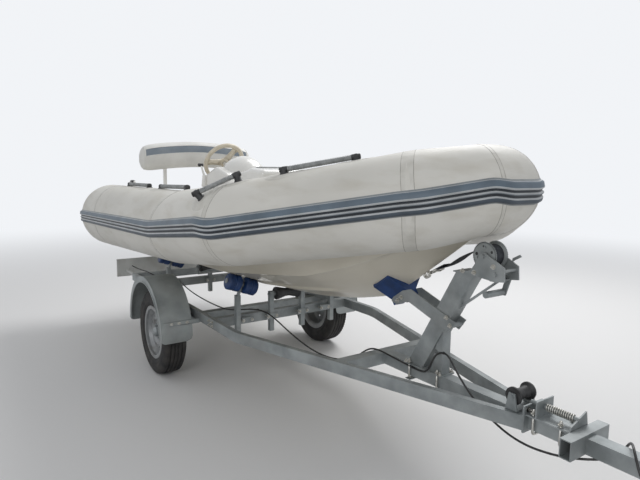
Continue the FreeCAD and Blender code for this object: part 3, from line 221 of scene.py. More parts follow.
world = bpy.data.worlds.new("studio")
bpy.context.scene.world = world
world.use_nodes = True
backdrop = world.node_tree.nodes["Background"]
brightness = add_node(world.node_tree, "ShaderNodeMapRange", Value=seen_directly(world.node_tree))
brightness.inputs["To Min"].default_value = WORLD_LEVEL
brightness.inputs["To Max"].default_value = BACKDROP_STRENGTH
world.node_tree.links.new(brightness.outputs["Result"], backdrop.inputs["Strength"])
backdrop.inputs["Color"].default_value = BACKDROP_COLOR

# Columns: name, place, half side, power
LAMPS = [("sky_lamp", (-1.5, 3.5, 5.5), 3.2, 235), ("front_lamp", (4.5, -5.5, 3.6), 2.2, 80)]
for name, spot, side, power in LAMPS:
    light = bpy.data.lights.new(name, "AREA")
    light.shape = "SQUARE"
    light.size = side
    light.energy = power
    lamp = bpy.data.objects.new(name, light)
    lamp.location = spot
    lamp.rotation_euler = (LAMP_TARGET - Vector(spot)).to_track_quat("-Z", "Y").to_euler()
    bpy.context.scene.collection.objects.link(lamp)
bpy.context.scene.view_settings.view_transform = "Standard"
print("lamps", len(LAMPS))

# %% [markdown]
# Hot-dip galvanised steel is dull and cloudy with faint crystals, the rims are painted, and rubber is
# nearly black and dull. Pictures could carry this, but noise on Object coordinates needs no unwrapping
# and runs on over the edges of a piece, so each finish is two tones, some soil and a fine bump.

# %% Finishes of metal and rubber
GALVANISED = base_material("galvanised_steel", (0.3, 0.325, 0.33), 0.5, 0.4)
steel_tone = mottled(GALVANISED, (0.2, 0.22, 0.224), (0.37, 0.395, 0.4), 9, 6, 0.3, 0.7)
soiled(GALVANISED, steel_tone, (0.17, 0.168, 0.155), 3.5, 0.45)
rough_skin(GALVANISED, 160, 0.00025, "ShaderNodeTexVoronoi")
ZINC = base_material("zinc_fastener", (0.55, 0.54, 0.5), 0.35, 0.85)
mottled(ZINC, (0.42, 0.41, 0.37), (0.6, 0.59, 0.56), 60)
GUARD_SKIN = base_material("guard_skin", (0.33, 0.36, 0.39), 0.5, 0.35)
guard_tone = mottled(GUARD_SKIN, (0.25, 0.275, 0.275), (0.36, 0.385, 0.385), 6, 5)
soiled(GUARD_SKIN, guard_tone, (0.2, 0.19, 0.17), 5, 0.4)
rough_skin(GUARD_SKIN, 120, 0.0002, "ShaderNodeTexVoronoi")
TREAD_RUBBER = base_material("tread_rubber", (0.018, 0.018, 0.019), 0.78)
mottled(TREAD_RUBBER, (0.012, 0.012, 0.013), (0.04, 0.037, 0.034), 14, 6)
rough_skin(TREAD_RUBBER, 700, 0.0002)
BLACK_RUBBER = base_material("black_rubber", (0.02, 0.02, 0.022), 0.55)
mottled(BLACK_RUBBER, (0.012, 0.012, 0.013), (0.035, 0.035, 0.036), 30)
rough_skin(BLACK_RUBBER, 400, 0.00015)
BLUE_RUBBER = base_material("blue_rubber", (0.01, 0.055, 0.2), 0.45)
mottled(BLUE_RUBBER, (0.005, 0.026, 0.095), (0.011, 0.05, 0.18), 12)
rough_skin(BLUE_RUBBER, 260, 0.0002)
RIM_PAINT = base_material("rim_paint", (0.45, 0.46, 0.47), 0.42, 0.25)
rim_tone = mottled(RIM_PAINT, (0.22, 0.23, 0.235), (0.35, 0.36, 0.365), 8)
soiled(RIM_PAINT, rim_tone, (0.12, 0.1, 0.08), 12, 0.6)
rough_skin(RIM_PAINT, 300, 0.0001)
CABLE_JACKET = base_material("cable_jacket", (0.012, 0.012, 0.013), 0.38)
mottled(CABLE_JACKET, (0.008, 0.008, 0.009), (0.022, 0.021, 0.02), 25)

# %% [markdown]
# The tube is coated cloth with a fine weave, the hull is cream gelcoat, and helm and seats are white
# gelcoat with vinyl. Gelcoat is a clear layer over colour, which is what a shader's coat stands for.

# %% Finishes of cloth, gelcoat and plastic
TUBE_CLOTH = base_material("tube_cloth", (0.66, 0.63, 0.56), 0.52)
cloth_tone = mottled(TUBE_CLOTH, (0.575, 0.56, 0.515), (0.67, 0.655, 0.61), 1.6, 5)
soiled(TUBE_CLOTH, cloth_tone, (0.42, 0.385, 0.31), 7, 0.4, (0.6, 1, 2.2))
rough_skin(TUBE_CLOTH, 900, 0.00012, "ShaderNodeTexVoronoi")
SEAM_CLOTH = base_material("seam_cloth", (0.6, 0.57, 0.5), 0.5)
mottled(SEAM_CLOTH, (0.53, 0.515, 0.47), (0.62, 0.605, 0.56), 18)
HULL_GELCOAT = base_material("hull_gelcoat", (0.6, 0.56, 0.47), 0.28, 0, 0.4)
hull_tone = mottled(HULL_GELCOAT, (0.56, 0.52, 0.43), (0.64, 0.6, 0.51), 1.2, 3)
soiled(HULL_GELCOAT, hull_tone, (0.42, 0.38, 0.29), 5, 0.3, (0.4, 1, 1))
WHITE_GELCOAT = base_material("white_gelcoat", (0.72, 0.71, 0.68), 0.25, 0, 0.5)
mottled(WHITE_GELCOAT, (0.68, 0.67, 0.64), (0.75, 0.745, 0.72), 3)
WHITE_VINYL = base_material("white_vinyl", (0.7, 0.695, 0.67), 0.5)
mottled(WHITE_VINYL, (0.64, 0.635, 0.61), (0.73, 0.725, 0.7), 7)
rough_skin(WHITE_VINYL, 420, 0.0003, "ShaderNodeTexVoronoi")
SLATE_VINYL = base_material("slate_vinyl", (0.17, 0.22, 0.28), 0.5)
mottled(SLATE_VINYL, (0.17, 0.205, 0.24), (0.22, 0.255, 0.29), 9)
rough_skin(SLATE_VINYL, 420, 0.0003, "ShaderNodeTexVoronoi")
CREAM_PLASTIC = base_material("cream_plastic", (0.66, 0.6, 0.48), 0.4)
mottled(CREAM_PLASTIC, (0.6, 0.54, 0.42), (0.7, 0.64, 0.53), 15)
HANDLE_GREY = base_material("handle_grey", (0.3, 0.31, 0.31), 0.5)
mottled(HANDLE_GREY, (0.24, 0.25, 0.25), (0.36, 0.37, 0.37), 40)
WEBBING = base_material("webbing", (0.03, 0.034, 0.042), 0.8)
mottled(WEBBING, (0.02, 0.023, 0.03), (0.05, 0.055, 0.065), 90)
rough_skin(WEBBING, 900, 0.0004, "ShaderNodeTexWave")
BOARD_PAINT = base_material("board_paint", (0.52, 0.53, 0.52), 0.5)
board_tone = mottled(BOARD_PAINT, (0.46, 0.47, 0.46), (0.58, 0.59, 0.58), 5)
soiled(BOARD_PAINT, board_tone, (0.3, 0.28, 0.24), 9, 0.4)
RED_LENS = base_material("red_lens", (0.35, 0.012, 0.012), 0.15, 0, 0.6)
mottled(RED_LENS, (0.3, 0.008, 0.008), (0.42, 0.02, 0.018), 60)
AMBER_LENS = base_material("amber_lens", (0.6, 0.2, 0.01), 0.15, 0, 0.6)
mottled(AMBER_LENS, (0.5, 0.15, 0.008), (0.68, 0.25, 0.015), 60)

# Rubbing strake tones, from its top edge down; the near-black 'dark' tone is painted shade in the grooves and on
# their down-facing walls
STRAKE_TONES = {
    "edge": (0.23, 0.25, 0.26), "slate": (0.1, 0.135, 0.17), "light": (0.44, 0.46, 0.47),
    "dark": (0.018, 0.023, 0.03), "grey": (0.15, 0.17, 0.19), "deep": (0.055, 0.072, 0.092),
}
STRAKE_RUBBER = {}
for tone, color in STRAKE_TONES.items():
    STRAKE_RUBBER[tone] = base_material("strake_" + tone, color, 0.5)
    mottled(STRAKE_RUBBER[tone], tuple(0.85 * part for part in color), tuple(1.12 * part for part in color), 10)
    rough_skin(STRAKE_RUBBER[tone], 500, 0.0001)
print("materials", len(bpy.data.materials))

# %% [markdown]
# Which finish each solid carries. Solids that later pieces stand for get one too. A table of name
# beginnings is shorter than a line for each solid, and a new solid falls back to galvanised steel.

# %% Finish the solids
# Columns: start of the node's name, finish; the first match counts
FINISHES = [
    ("tyre", TREAD_RUBBER), ("rim", RIM_PAINT), ("tube_handles", HANDLE_GREY), ("tube", TUBE_CLOTH),
    ("rubbing", STRAKE_RUBBER["slate"]), ("roller_posts", GALVANISED), ("roller_bracket", GALVANISED),
    ("roller", BLUE_RUBBER), ("keel_roller", BLACK_RUBBER), ("drawbar_roller", BLACK_RUBBER),
    ("jockey_wheel", BLACK_RUBBER), ("bow_chock", BLUE_RUBBER), ("hull", HULL_GELCOAT),
    ("console", WHITE_GELCOAT), ("front_seat", WHITE_GELCOAT), ("rear_bench", WHITE_GELCOAT),
    ("grab_rails", WHITE_GELCOAT), ("backrest", WHITE_VINYL), ("steering_wheel", CREAM_PLASTIC),
    ("light_board", BOARD_PAINT),
    ("light_cable", CABLE_JACKET), ("light_plug", BLACK_RUBBER), ("winch_strap", WEBBING),
    ("mudguard", GUARD_SKIN), ("", GALVANISED),
]
for name, node in NODES.items():
    finish = next(made for start, made in FINISHES if name.startswith(start))
    node.data.materials.clear()
    node.data.materials.append(finish)
print("finished", len(NODES), "solids")

# %% [markdown]
# Nearly every fitting here is a tube, a turned piece or a plate. Blender's own primitives would each
# need placing and joining, so one helper joins rings of points into a closed shell, and the others
# only say where the rings lie. Along a bent path each ring keeps the last one's side, so it can't twist.

# %% Mesh helpers
def make_piece(name, points, faces, material, smooth=True, body=BOAT, slot=None):
    """A mesh piece that rides on a body."""
    mesh = bpy.data.meshes.new(name)
    mesh.from_pydata([tuple(point) for point in points], [], faces)
    mesh.validate()
    mesh.materials.append(material)
    mesh.polygons.foreach_set("use_smooth", [smooth] * len(mesh.polygons))
    piece = bpy.data.objects.new(name, mesh)
    bpy.context.scene.collection.objects.link(piece)
    if body:
        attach(piece, body)
    return piece


def sweep(rings, closed_ends=True, looped=False):
    """Points and faces that join rings of equally many points."""
    count = len(rings[0])
    points = [point for ring in rings for point in ring]
    faces = []
    last = len(rings) if looped else len(rings) - 1
    for row in range(last):
        following = (row + 1) % len(rings)
        for spot in range(count):
            beside = (spot + 1) % count
            faces.append((row * count + spot, row * count + beside, following * count + beside,
                          following * count + spot))
    if closed_ends and not looped:
        faces.append(tuple(reversed(range(count))))
        faces.append(tuple((len(rings) - 1) * count + spot for spot in range(count)))
    return points, faces


def across_of(way):
    """Two directions square to a way."""
    helper = Vector((0, 0, 1)) if abs(way.z) < 0.9 else Vector((1, 0, 0))
    side = way.cross(helper).normalized()
    return side, way.cross(side).normalized()


def turned(start, way, outline, segments=32, hollow=False):
    """Points and faces of a turned form; the outline holds distance along and radius in millimetres.

    A hollow form joins its last ring to its first, as a tyre does."""
    way = way.normalized()
    side, other = across_of(way)
    rings = []
    for along, radius in outline:
        centre = start + way * (along / 1000)
        ring = []
        for segment in range(segments):
            turn = -2 * math.pi * segment / segments
            ring.append(centre + (side * math.cos(turn) + other * math.sin(turn)) * max(radius, 0.01) / 1000)
        rings.append(ring)
    return sweep(rings, not hollow, hollow)


def pipe(path, radius, segments=10):
    """Points and faces of a round bar along a path, its radius in millimetres."""
    ways = []
    for spot in range(len(path)):
        before, after = path[max(spot - 1, 0)], path[min(spot + 1, len(path) - 1)]
        ways.append((after - before).normalized())
    side = across_of(ways[0])[0]
    rings = []
    for point, way in zip(path, ways):
        side = (side - way * side.dot(way)).normalized()
        other = way.cross(side)
        ring = []
        for segment in range(segments):
            turn = 2 * math.pi * segment / segments
            ring.append(point + (side * math.cos(turn) + other * math.sin(turn)) * radius / 1000)
        rings.append(ring)
    return sweep(rings)


def gather(parts):
    """One set of points and faces from several."""
    points, faces = [], []
    for part_points, part_faces in parts:
        first = len(points)
        points.extend(part_points)
        faces.extend(tuple(first + corner for corner in face) for face in part_faces)
    return points, faces


def rounded(path, reach, steps=5):
    """A path in millimetres with its corners rounded, as points of the frame."""
    spots = [place(*spot) for spot in path]
    smooth = [spots[0]]
    for before, corner, after in zip(spots, spots[1:], spots[2:]):
        start = corner + (before - corner).normalized() * reach / 1000
        end = corner + (after - corner).normalized() * reach / 1000
        for step in range(steps + 1):
            share = step / steps
            smooth.append(start * (1 - share) ** 2 + corner * 2 * share * (1 - share) + end * share ** 2)
    smooth.append(spots[-1])
    return smooth


def oblong(left, right, low, high):
    """Corners of a rectangle."""
    return [(left, low), (right, low), (right, high), (left, high)]


def slab(outline, low, high, plane="xz"):
    """Points and faces of a plate with an outline in millimetres, between two places across it."""
    def spot(a, b, across):
        return place(a, across, b) if plane == "xz" else place(across, a, b)

    return sweep([[spot(a, b, across) for a, b in outline] for across in (low, high)])


def bevel(piece, width, segments=2):
    """Rounds the edges of a piece for good, and keeps flat faces flat."""
    tool = piece.modifiers.new("rounding", "BEVEL")
    tool.width = width / 1000
    tool.segments = segments
    tool.limit_method = "ANGLE"
    tool.angle_limit = math.radians(28)
    tool.harden_normals = True
    apply_modifiers(piece)


def apply_modifiers(piece):
    """Turns the evaluated mesh into the piece's own mesh."""
    bpy.context.view_layer.update()
    evaluated = piece.evaluated_get(bpy.context.evaluated_depsgraph_get())
    mesh = bpy.data.meshes.new_from_object(evaluated)
    piece.modifiers.clear()
    piece.data = mesh


def moulded(name, outline, low, high, width, segments=2, plane="xz", material=WHITE_GELCOAT,
            slot="gelcoat_white"):
    """A plate whose edges are rounded by a width, as a moulding's are."""
    piece = make_piece(name, *slab(outline, low, high, plane), material, False, slot=slot)
    bevel(piece, width, segments)
    return piece


def outward(piece, merge_reach=0.0):
    """Makes the faces of closed shells point out, and can first join vertices that share a place."""
    work = bmesh.new()
    work.from_mesh(piece.data)
    if merge_reach:
        bmesh.ops.remove_doubles(work, verts=work.verts, dist=merge_reach)
    bmesh.ops.recalc_face_normals(work, faces=work.faces)
    work.to_mesh(piece.data)
    work.free()


# %% [markdown]
# Bolts, ribs, tread blocks, teeth and stitches are one small form in many places. Geometry Nodes copy
# it: the places are the vertices of a mesh that also holds two directions for each of them, so that
# every copy stands the right way. The copies are made real, because instances get lost on export.

# %% Tree for repeated pieces
def repeat_tree():
    """A tree that sets a piece on every point and turns it by the point's own directions."""
    tree = bpy.data.node_groups.new("repeat_on_points", "GeometryNodeTree")
    sockets = tree.interface
    sockets.new_socket("Geometry", in_out="INPUT", socket_type="NodeSocketGeometry")
    sockets.new_socket("Piece", in_out="INPUT", socket_type="NodeSocketObject")
    sockets.new_socket("Size", in_out="INPUT", socket_type="NodeSocketFloat")
    sockets.new_socket("Finish", in_out="INPUT", socket_type="NodeSocketMaterial")
    sockets.new_socket("Geometry", in_out="OUTPUT", socket_type="NodeSocketGeometry")
    given = add_node(tree, "NodeGroupInput")
    result = add_node(tree, "NodeGroupOutput")
    model = add_node(tree, "GeometryNodeObjectInfo", Object=given.outputs["Piece"])
    ways = []
    for label in ("way", "side"):
        attribute = add_node(tree, "GeometryNodeInputNamedAttribute", data_type="FLOAT_VECTOR")
        attribute.inputs["Name"].default_value = label
        ways.append(attribute.outputs["Attribute"])
    upright_turn = add_node(tree, "FunctionNodeAlignRotationToVector", Vector=ways[0], axis="Z")
    full_turn = add_node(tree, "FunctionNodeAlignRotationToVector", Rotation=upright_turn.outputs["Rotation"],
                         Vector=ways[1], axis="X", pivot_axis="Z")
    copies = add_node(tree, "GeometryNodeInstanceOnPoints", Points=given.outputs["Geometry"],
                      Instance=model.outputs["Geometry"], Rotation=full_turn.outputs["Rotation"])
    tree.links.new(given.outputs["Size"], copies.inputs["Scale"])
    real = add_node(tree, "GeometryNodeRealizeInstances", Geometry=copies.outputs["Instances"])
    painted = add_node(tree, "GeometryNodeSetMaterial", Geometry=real.outputs["Geometry"],
                       Material=given.outputs["Finish"])
    tree.links.new(painted.outputs["Geometry"], result.inputs["Geometry"])
    return tree


REPEAT = repeat_tree()


def repeated(name, form, spots, material, size=1.0, body=BOAT, smooth=False):
    """A piece made of copies of a form at spots of (point, way, side)."""
    model = make_piece(name + "_form", form[0], form[1], material, smooth, None)
    mesh = bpy.data.meshes.new(name)
    mesh.from_pydata([tuple(spot[0]) for spot in spots], [], [])
    for label, column in (("way", 1), ("side", 2)):
        attribute = mesh.attributes.new(label, "FLOAT_VECTOR", "POINT")
        attribute.data.foreach_set("vector", [part for spot in spots for part in spot[column]])
    piece = bpy.data.objects.new(name, mesh)
    bpy.context.scene.collection.objects.link(piece)
    tool = piece.modifiers.new("repeat", "NODES")
    tool.node_group = REPEAT
    given = {"Piece": model, "Size": size, "Finish": material}
    for socket in REPEAT.interface.items_tree:
        if socket.in_out == "INPUT" and socket.name in given:
            tool[socket.identifier] = given[socket.name]
    apply_modifiers(piece)
    bpy.data.objects.remove(model)
    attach(piece, body)
    return piece


def bolt_form(across=13, washer=11, stub=6):
    """A hexagon head on its washer, with a short end of thread, standing on z = 0."""
    origin, up = Vector((0, 0, 0)), Vector((0, 0, 1))
    plate = turned(origin, up, [(0, washer), (1.6, washer)], 16)
    reach = across / 2 / math.cos(math.pi / 6)
    head = turned(origin, up, [(1.6, reach), (7.5, reach), (8.6, reach * 0.86)], 6)
    end = turned(origin, up, [(8.4, across * 0.29), (8.4 + stub, across * 0.29), (9.2 + stub, across * 0.24)], 10)
    return gather([plate, head, end])


BOLT = bolt_form()
UP = Vector((0, 0, 1))
FORE, AFT = Vector((1, 0, 0)), Vector((-1, 0, 0))
PORT, STARBOARD = Vector((0, 1, 0)), Vector((0, -1, 0))
bolt_spots = []


def bolt(x, y, z, way):
    """Notes a bolt to be set with all the others."""
    bolt_spots.append((place(x, y, z), way, across_of(way)[0]))


print("repeat tree", len(REPEAT.nodes), "nodes")

# %% [markdown]
# The electric cable leaves the light board, lies over the beams, hangs between them, is tied to the
# brace of the winch post, hangs again, winds once round the drawbar and ends in its plug. It is one
# curve with a round bevel, because a curve keeps its route as control points that can be read and moved.

# %% Electric cable
CABLE_ROUTE = [
    (-1430, -455, 500), (-1370, -455, 500), (-1300, -444, 495), (-1225, -428, 491), (-1145, -408, 488),
    (-1060, -385, 473), (-965, -360, 464), (-870, -335, 470), (-785, -314, 487), (-700, -300, 488),
    (-600, -294, 470), (-480, -291, 448), (-355, -289, 434), (-225, -287, 427), (-92, -286, 425),
    (38, -284, 426), (160, -279, 429), (270, -270, 441), (370, -255, 461), (455, -231, 483),
    (532, -200, 492), (605, -170, 483), (680, -149, 452), (770, -131, 412), (870, -116, 376),
    (985, -105, 349), (1105, -96, 338), (1220, -89, 346), (1325, -82, 371), (1415, -76, 415),
    (1470, -71, 462), (1520, -65, 491), (1580, -56, 494), (1645, -46, 483), (1725, -40, 473),
    (1790, -38.5, 470), (1845, -46, 470), (1902, -57, 484), (1926, -57, 522), (1939, -47, 571),
    (1967, -38, 595), (2003, -36, 596), (2032, -38, 574), (2072, -42, 532), (2118, -46, 493),
    (2166, -48, 456), (2222, -50, 420), (2288, -50, 390), (2360, -48, 366), (2440, -44, 357),
    (2520, -36, 363), (2590, -26, 376), (2650, 5, 388), (2700, 42, 402), (2735, 62, 440),
    (2760, 50, 487), (2790, 5, 512), (2825, -44, 492), (2850, -62, 448), (2880, -67, 414),
    (2920, -67, 392), (2968, -66, 385), (3016, -67, 396), (3054, -66, 428), (3080, -58, 470),
    (3110, -34, 503), (3150, -3, 497.3), (3203, -3, 497.3),
]
CABLE_DIAMETER = 0.009


def cord_curve(name, route, diameter, material):
    """A smooth curve with the route's points as its control points."""
    line = bpy.data.curves.new(name, "CURVE")
    line.dimensions = "3D"
    line.bevel_depth = diameter / 2
    line.bevel_resolution = 4
    line.use_fill_caps = True
    spline = line.splines.new("NURBS")
    spline.points.add(len(route) - 1)
    for point, spot in zip(spline.points, route):
        point.co = (*place(*spot), 1)
    spline.order_u = 3
    spline.use_endpoint_u = True
    spline.resolution_u = 6
    line.materials.append(material)
    piece = bpy.data.objects.new(name, line)
    bpy.context.scene.collection.objects.link(piece)
    return piece


cable = cord_curve("electric_cable", CABLE_ROUTE, CABLE_DIAMETER, CABLE_JACKET)
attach(cable, BOAT)
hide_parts("light_cable")
print("cable points", len(CABLE_ROUTE))

# %% [markdown]
# The inflated tube is cut from straight cones that meet on flat mitres, and air pressure rounds each
# mitre a little. A swept curve can't have flat mitres, so the skin is one grid of points: rings from
# the port stern round the bow to the starboard stern. Seams, patches, handles and the strake all read
# their places from that grid, so they follow the skin wherever it goes.

# %% Grid of the tube's skin
# Columns: x, y on the port side, z, radius of the ball in the corner
TUBE_ROWS = [(-1319, 630, 990, 259), (496, 672, 1055, 217.5), (1210, 688, 1136, 202), (1957, 196, 1285, 212),
             (2139, 39, 1331, 188), (2139, -39, 1331, 188)]
SIDE_LENGTHS = 4
SEGMENTS = 144
TURNS = [2 * math.pi * segment / SEGMENTS for segment in range(SEGMENTS)]
STERN_REACH = 250
STERN_TIP = 110
STERN_FULLNESS = 1.8
STERN_RINGS = 14
RING_SPACING = 20
LEAST_STEPS = 6
# Rings over which each corner is rounded, and how often
SOFT_CORNERS = [0, 3, 3, 3, 2]


def length_frame(row):
    """Start, way along, way out, way up, span and cone slope of one straight length."""
    start, end = Vector(TUBE_ROWS[row][:3]), Vector(TUBE_ROWS[row + 1][:3])
    way = (end - start).normalized()
    out = Vector((-way.y, way.x, 0)).normalized()
    span = (end - start).length
    return start, way, out, way.cross(out), span, math.asin((TUBE_ROWS[row][3] - TUBE_ROWS[row + 1][3]) / span)


def mitre_plane(row):
    """Point and normal of the plane between two lengths; the first row has a square end."""
    if row == 0:
        start, way, _, _, _, _ = length_frame(0)
        return start, way
    _, before, _, _, _, slope_before = length_frame(row - 1)
    start, after, _, _, _, slope_after = length_frame(row)
    normal = before / math.cos(slope_before) + after / math.cos(slope_after)
    offset = TUBE_ROWS[row][3] * (math.tan(slope_before) + math.tan(slope_after))
    return start + normal * (offset / normal.dot(normal)), normal.normalized()


def along_generator(row, turn, planes):
    """Ends of the straight line on the cone at a turn, on the two planes that close the length."""
    start, way, out, up, span, slope = length_frame(row)
    side = up * math.cos(turn) + out * math.sin(turn)
    radius = TUBE_ROWS[row][3]
    first = start + side * radius / math.cos(slope)
    last = start + way * span + side * (radius - span * math.sin(slope)) / math.cos(slope)
    ends = []
    for origin, normal in planes:
        share = (origin - first).dot(normal) / (last - first).dot(normal)
        ends.append(first.lerp(last, share))
    return ends


def stern_ring(share):
    """A ring of the closed stern end; its share runs from the tip to the straight tube."""
    start, way, out, up, _, _ = length_frame(0)
    past = STERN_REACH * math.cos(share * math.pi / 2)
    radius = STERN_TIP + (TUBE_ROWS[0][3] - STERN_TIP) * (1 - (past / STERN_REACH) ** STERN_FULLNESS)
    return [start - way * past + (up * math.cos(turn) + out * math.sin(turn)) * radius for turn in TURNS]


def port_rings():
    """Rings from the port stern to the middle plane at the bow, and the ring numbers of the corners."""
    rings = [stern_ring(step / STERN_RINGS) for step in range(STERN_RINGS)]
    corners = [len(rings)]
    middle = (Vector((0, 0, 0)), Vector((0, 1, 0)))
    for row in range(SIDE_LENGTHS + 1):
        planes = (mitre_plane(row), mitre_plane(row + 1) if row < SIDE_LENGTHS else middle)
        lines = [along_generator(row, turn, planes) for turn in TURNS]
        longest = max((end - start).length for start, end in lines)
        steps = max(LEAST_STEPS, int(longest / RING_SPACING))
        for step in range(steps):
            rings.append([start.lerp(end, step / steps) for start, end in lines])
        corners.append(len(rings))
    rings.append([end for start, end in lines])
    for ring in rings:
        for point in ring:
            point.y = max(point.y, 0.0)
    return rings, corners[:-1]


PORT_RINGS, CORNER_RINGS = port_rings()
MIDDLE_RING = len(PORT_RINGS) - 1


def mirrored(ring):
    """The same ring on the starboard side."""
    return [Vector((point.x, -point.y, point.z)) for point in ring]


GRID = PORT_RINGS + [mirrored(ring) for ring in reversed(PORT_RINGS[:-1])]


def soften(grid):
    """Rounds the corners by averaging each ring with its neighbours, most at the corner."""
    for row, reach in enumerate(SOFT_CORNERS):
        if reach == 0:
            continue
        spots = {CORNER_RINGS[row], len(grid) - 1 - CORNER_RINGS[row]}
        for _ in range(3 * reach):
            changed = {}
            for corner in spots:
                for number in range(corner - 2 * reach, corner + 2 * reach + 1):
                    weight = 0.5 * math.exp(-((number - corner) / reach) ** 2)
                    before, ring, after = grid[number - 1], grid[number], grid[number + 1]
                    changed[number] = [point.lerp((first + second) / 2, weight)
                                       for first, point, second in zip(before, ring, after)]
            for number, ring in changed.items():
                grid[number] = ring


soften(GRID)
LAST_RING = len(GRID) - 1


def grid_point(number, segment):
    """A point between the grid's points, in millimetres."""
    number = min(max(number, 0.0), LAST_RING - 1e-6)
    low, across = int(number), number - int(number)
    first, share = int(math.floor(segment)) % SEGMENTS, segment - math.floor(segment)
    second = (first + 1) % SEGMENTS
    near = GRID[low][first].lerp(GRID[low][second], share)
    far = GRID[low + 1][first].lerp(GRID[low + 1][second], share)
    return near.lerp(far, across)


def skin_way(number, turn):
    """Way out of the skin at a ring and a turn."""
    segment = turn / (2 * math.pi) * SEGMENTS
    along = grid_point(min(number + 0.6, LAST_RING), segment) - grid_point(max(number - 0.6, 0), segment)
    around = grid_point(number, segment + 0.6) - grid_point(number, segment - 0.6)
    way = around.cross(along)
    flip = -1 if way.dot(grid_point(number, segment) - grid_point(number, segment + SEGMENTS / 2)) < 0 else 1
    return way.normalized() * flip


def skin(number, turn, lift=0.0):
    """A point on the skin in metres of the frame, raised by millimetres; the turn runs outward from the crest."""
    point = grid_point(number, turn / (2 * math.pi) * SEGMENTS)
    if lift:
        point = point + skin_way(number, turn) * lift
    return place(*point)


def ring_at(x, turn, side):
    """Ring number where the skin has this x, at a turn of one side; 1 is port and -1 starboard."""
    low, high = 0.0, float(MIDDLE_RING)
    segment = turn / (2 * math.pi) * SEGMENTS
    for _ in range(30):
        guess = (low + high) / 2
        if grid_point(guess, segment).x < x:
            low = guess
        else:
            high = guess
    return low if side > 0 else LAST_RING - low


print("rings", len(GRID), "corners at", CORNER_RINGS)

# %% [markdown]
# Seams run round the tube where its panels meet and lean aft toward the crest. Near a seam the cloth
# puckers a little, so the skin there gets small ripples that die away within a hand's width. They are
# in the mesh and not only in a bump map, because they show along the tube's outline.

# %% Seams and skin
# Columns: x where the seam crosses the side, how far it leans aft at the crest, half width of the tape
SEAMS = [(-880, 150, 13)]
# For each corner of the tube: half width of its tape, and how far ahead it lies at the crest, side and bottom
CORNER_SEAMS = [(13, 90, 0, 0), (13, 30, 0, 0), (26, -14, -20, -62), (8, 0, 0, 0)]
# The skin lies this far under the solid, which leaves room for tapes and ripples
SKIN_INSET = 0.8
RIPPLE_HEIGHT, RIPPLE_FADE, RIPPLE_REACH, RIPPLE_RINGS = 0.7, 34, 110, 9
FOLD_HEIGHT = 0.8


def ring_pitch(number, segment):
    """Millimetres between the rings at a place."""
    low = min(int(number), LAST_RING - 1)
    return max((GRID[low + 1][segment] - GRID[low][segment]).length, 1.0)


def seam_rows():
    """For each seam its ring number at every turn, and its half width in millimetres."""
    rows = []
    for side in (1, -1):
        for x, lean, half in SEAMS:
            places = [x - lean * math.cos(turn) ** 2 * (1 if math.cos(turn) > 0 else 0.4) for turn in TURNS]
            rows.append(([ring_at(spot, turn, side) for spot, turn in zip(places, TURNS)], half))
        for corner, (half, crest, flank, bottom) in zip(CORNER_RINGS[1:], CORNER_SEAMS):
            row = []
            for segment, turn in enumerate(TURNS):
                height = math.cos(turn)
                ahead = flank + (crest - flank) * max(height, 0) + (bottom - flank) * max(-height, 0)
                number = corner + ahead / max(ring_pitch(corner + (1 if ahead > 0 else -2), segment), 6)
                row.append(number if side > 0 else LAST_RING - number)
            rows.append((row, half))
    return rows


SEAM_ROWS = seam_rows()


def pucker(number, segment):
    """Ripple in millimetres near the seams, and broad folds everywhere."""
    turn = TURNS[segment]
    ripple = 0.0
    for row, half in SEAM_ROWS:
        rings_off = abs(number - row[segment])
        if rings_off < RIPPLE_RINGS:
            gap = max(rings_off * ring_pitch(number, segment) - half, 0)
            if gap < RIPPLE_REACH:
                wave = noise.noise(Vector((turn * 14, row[0] / 9, gap / 70)))
                ripple += RIPPLE_HEIGHT * math.exp(-gap / RIPPLE_FADE) * wave
    fold = noise.noise(Vector((math.cos(turn) * 2.2, math.sin(turn) * 2.2, number / 12)))
    return ripple + FOLD_HEIGHT * fold


def tube_mesh():
    """Points and faces of the whole skin, open where its two halves meet inside the bow."""
    rings = []
    for number in range(len(GRID)):
        ring = []
        for segment in range(SEGMENTS):
            point = GRID[number][segment]
            if point.y == 0.0:
                ring.append(place(*point))
            else:
                way = skin_way(number, TURNS[segment])
                ring.append(place(*(point + way * (pucker(number, segment) - SKIN_INSET))))
        rings.append(ring)
    for end in (0, -1):
        centre = sum(rings[end], Vector()) / SEGMENTS
        caps = []
        for share, bulge in ((0.93, 0.005), (0.72, 0.01), (0.4, 0.013), (0.05, 0.014)):
            caps.append([centre + (point - centre) * share + AFT * bulge for point in rings[end]])
        rings = list(reversed(caps)) + rings if end == 0 else rings + caps
    points, faces = sweep(rings)
    middle = {number for number, point in enumerate(points) if abs(point.y) < 1e-6}
    return points, [face for face in faces if not all(corner in middle for corner in face)]


TUBE_MERGE_REACH = 0.00002
points, faces = tube_mesh()
tube = make_piece("tube_skin", points, faces, TUBE_CLOTH, slot="tube_fabric")
outward(tube, TUBE_MERGE_REACH)
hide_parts("tube_port", "tube_starboard", "tube_bow")
print("tube faces", len(tube.data.polygons))

# %% [markdown]
# Each seam is covered by a tape of the same cloth, with a thin dark line of glue along both edges. A
# painted line would blur, so tapes and lines are thin strips that sink into the skin at their edges.

# %% Seam tapes
SEAM_LINE = base_material("seam_line", (0.36, 0.34, 0.3), 0.6)
mottled(SEAM_LINE, (0.2, 0.19, 0.17), (0.38, 0.36, 0.32), 26)


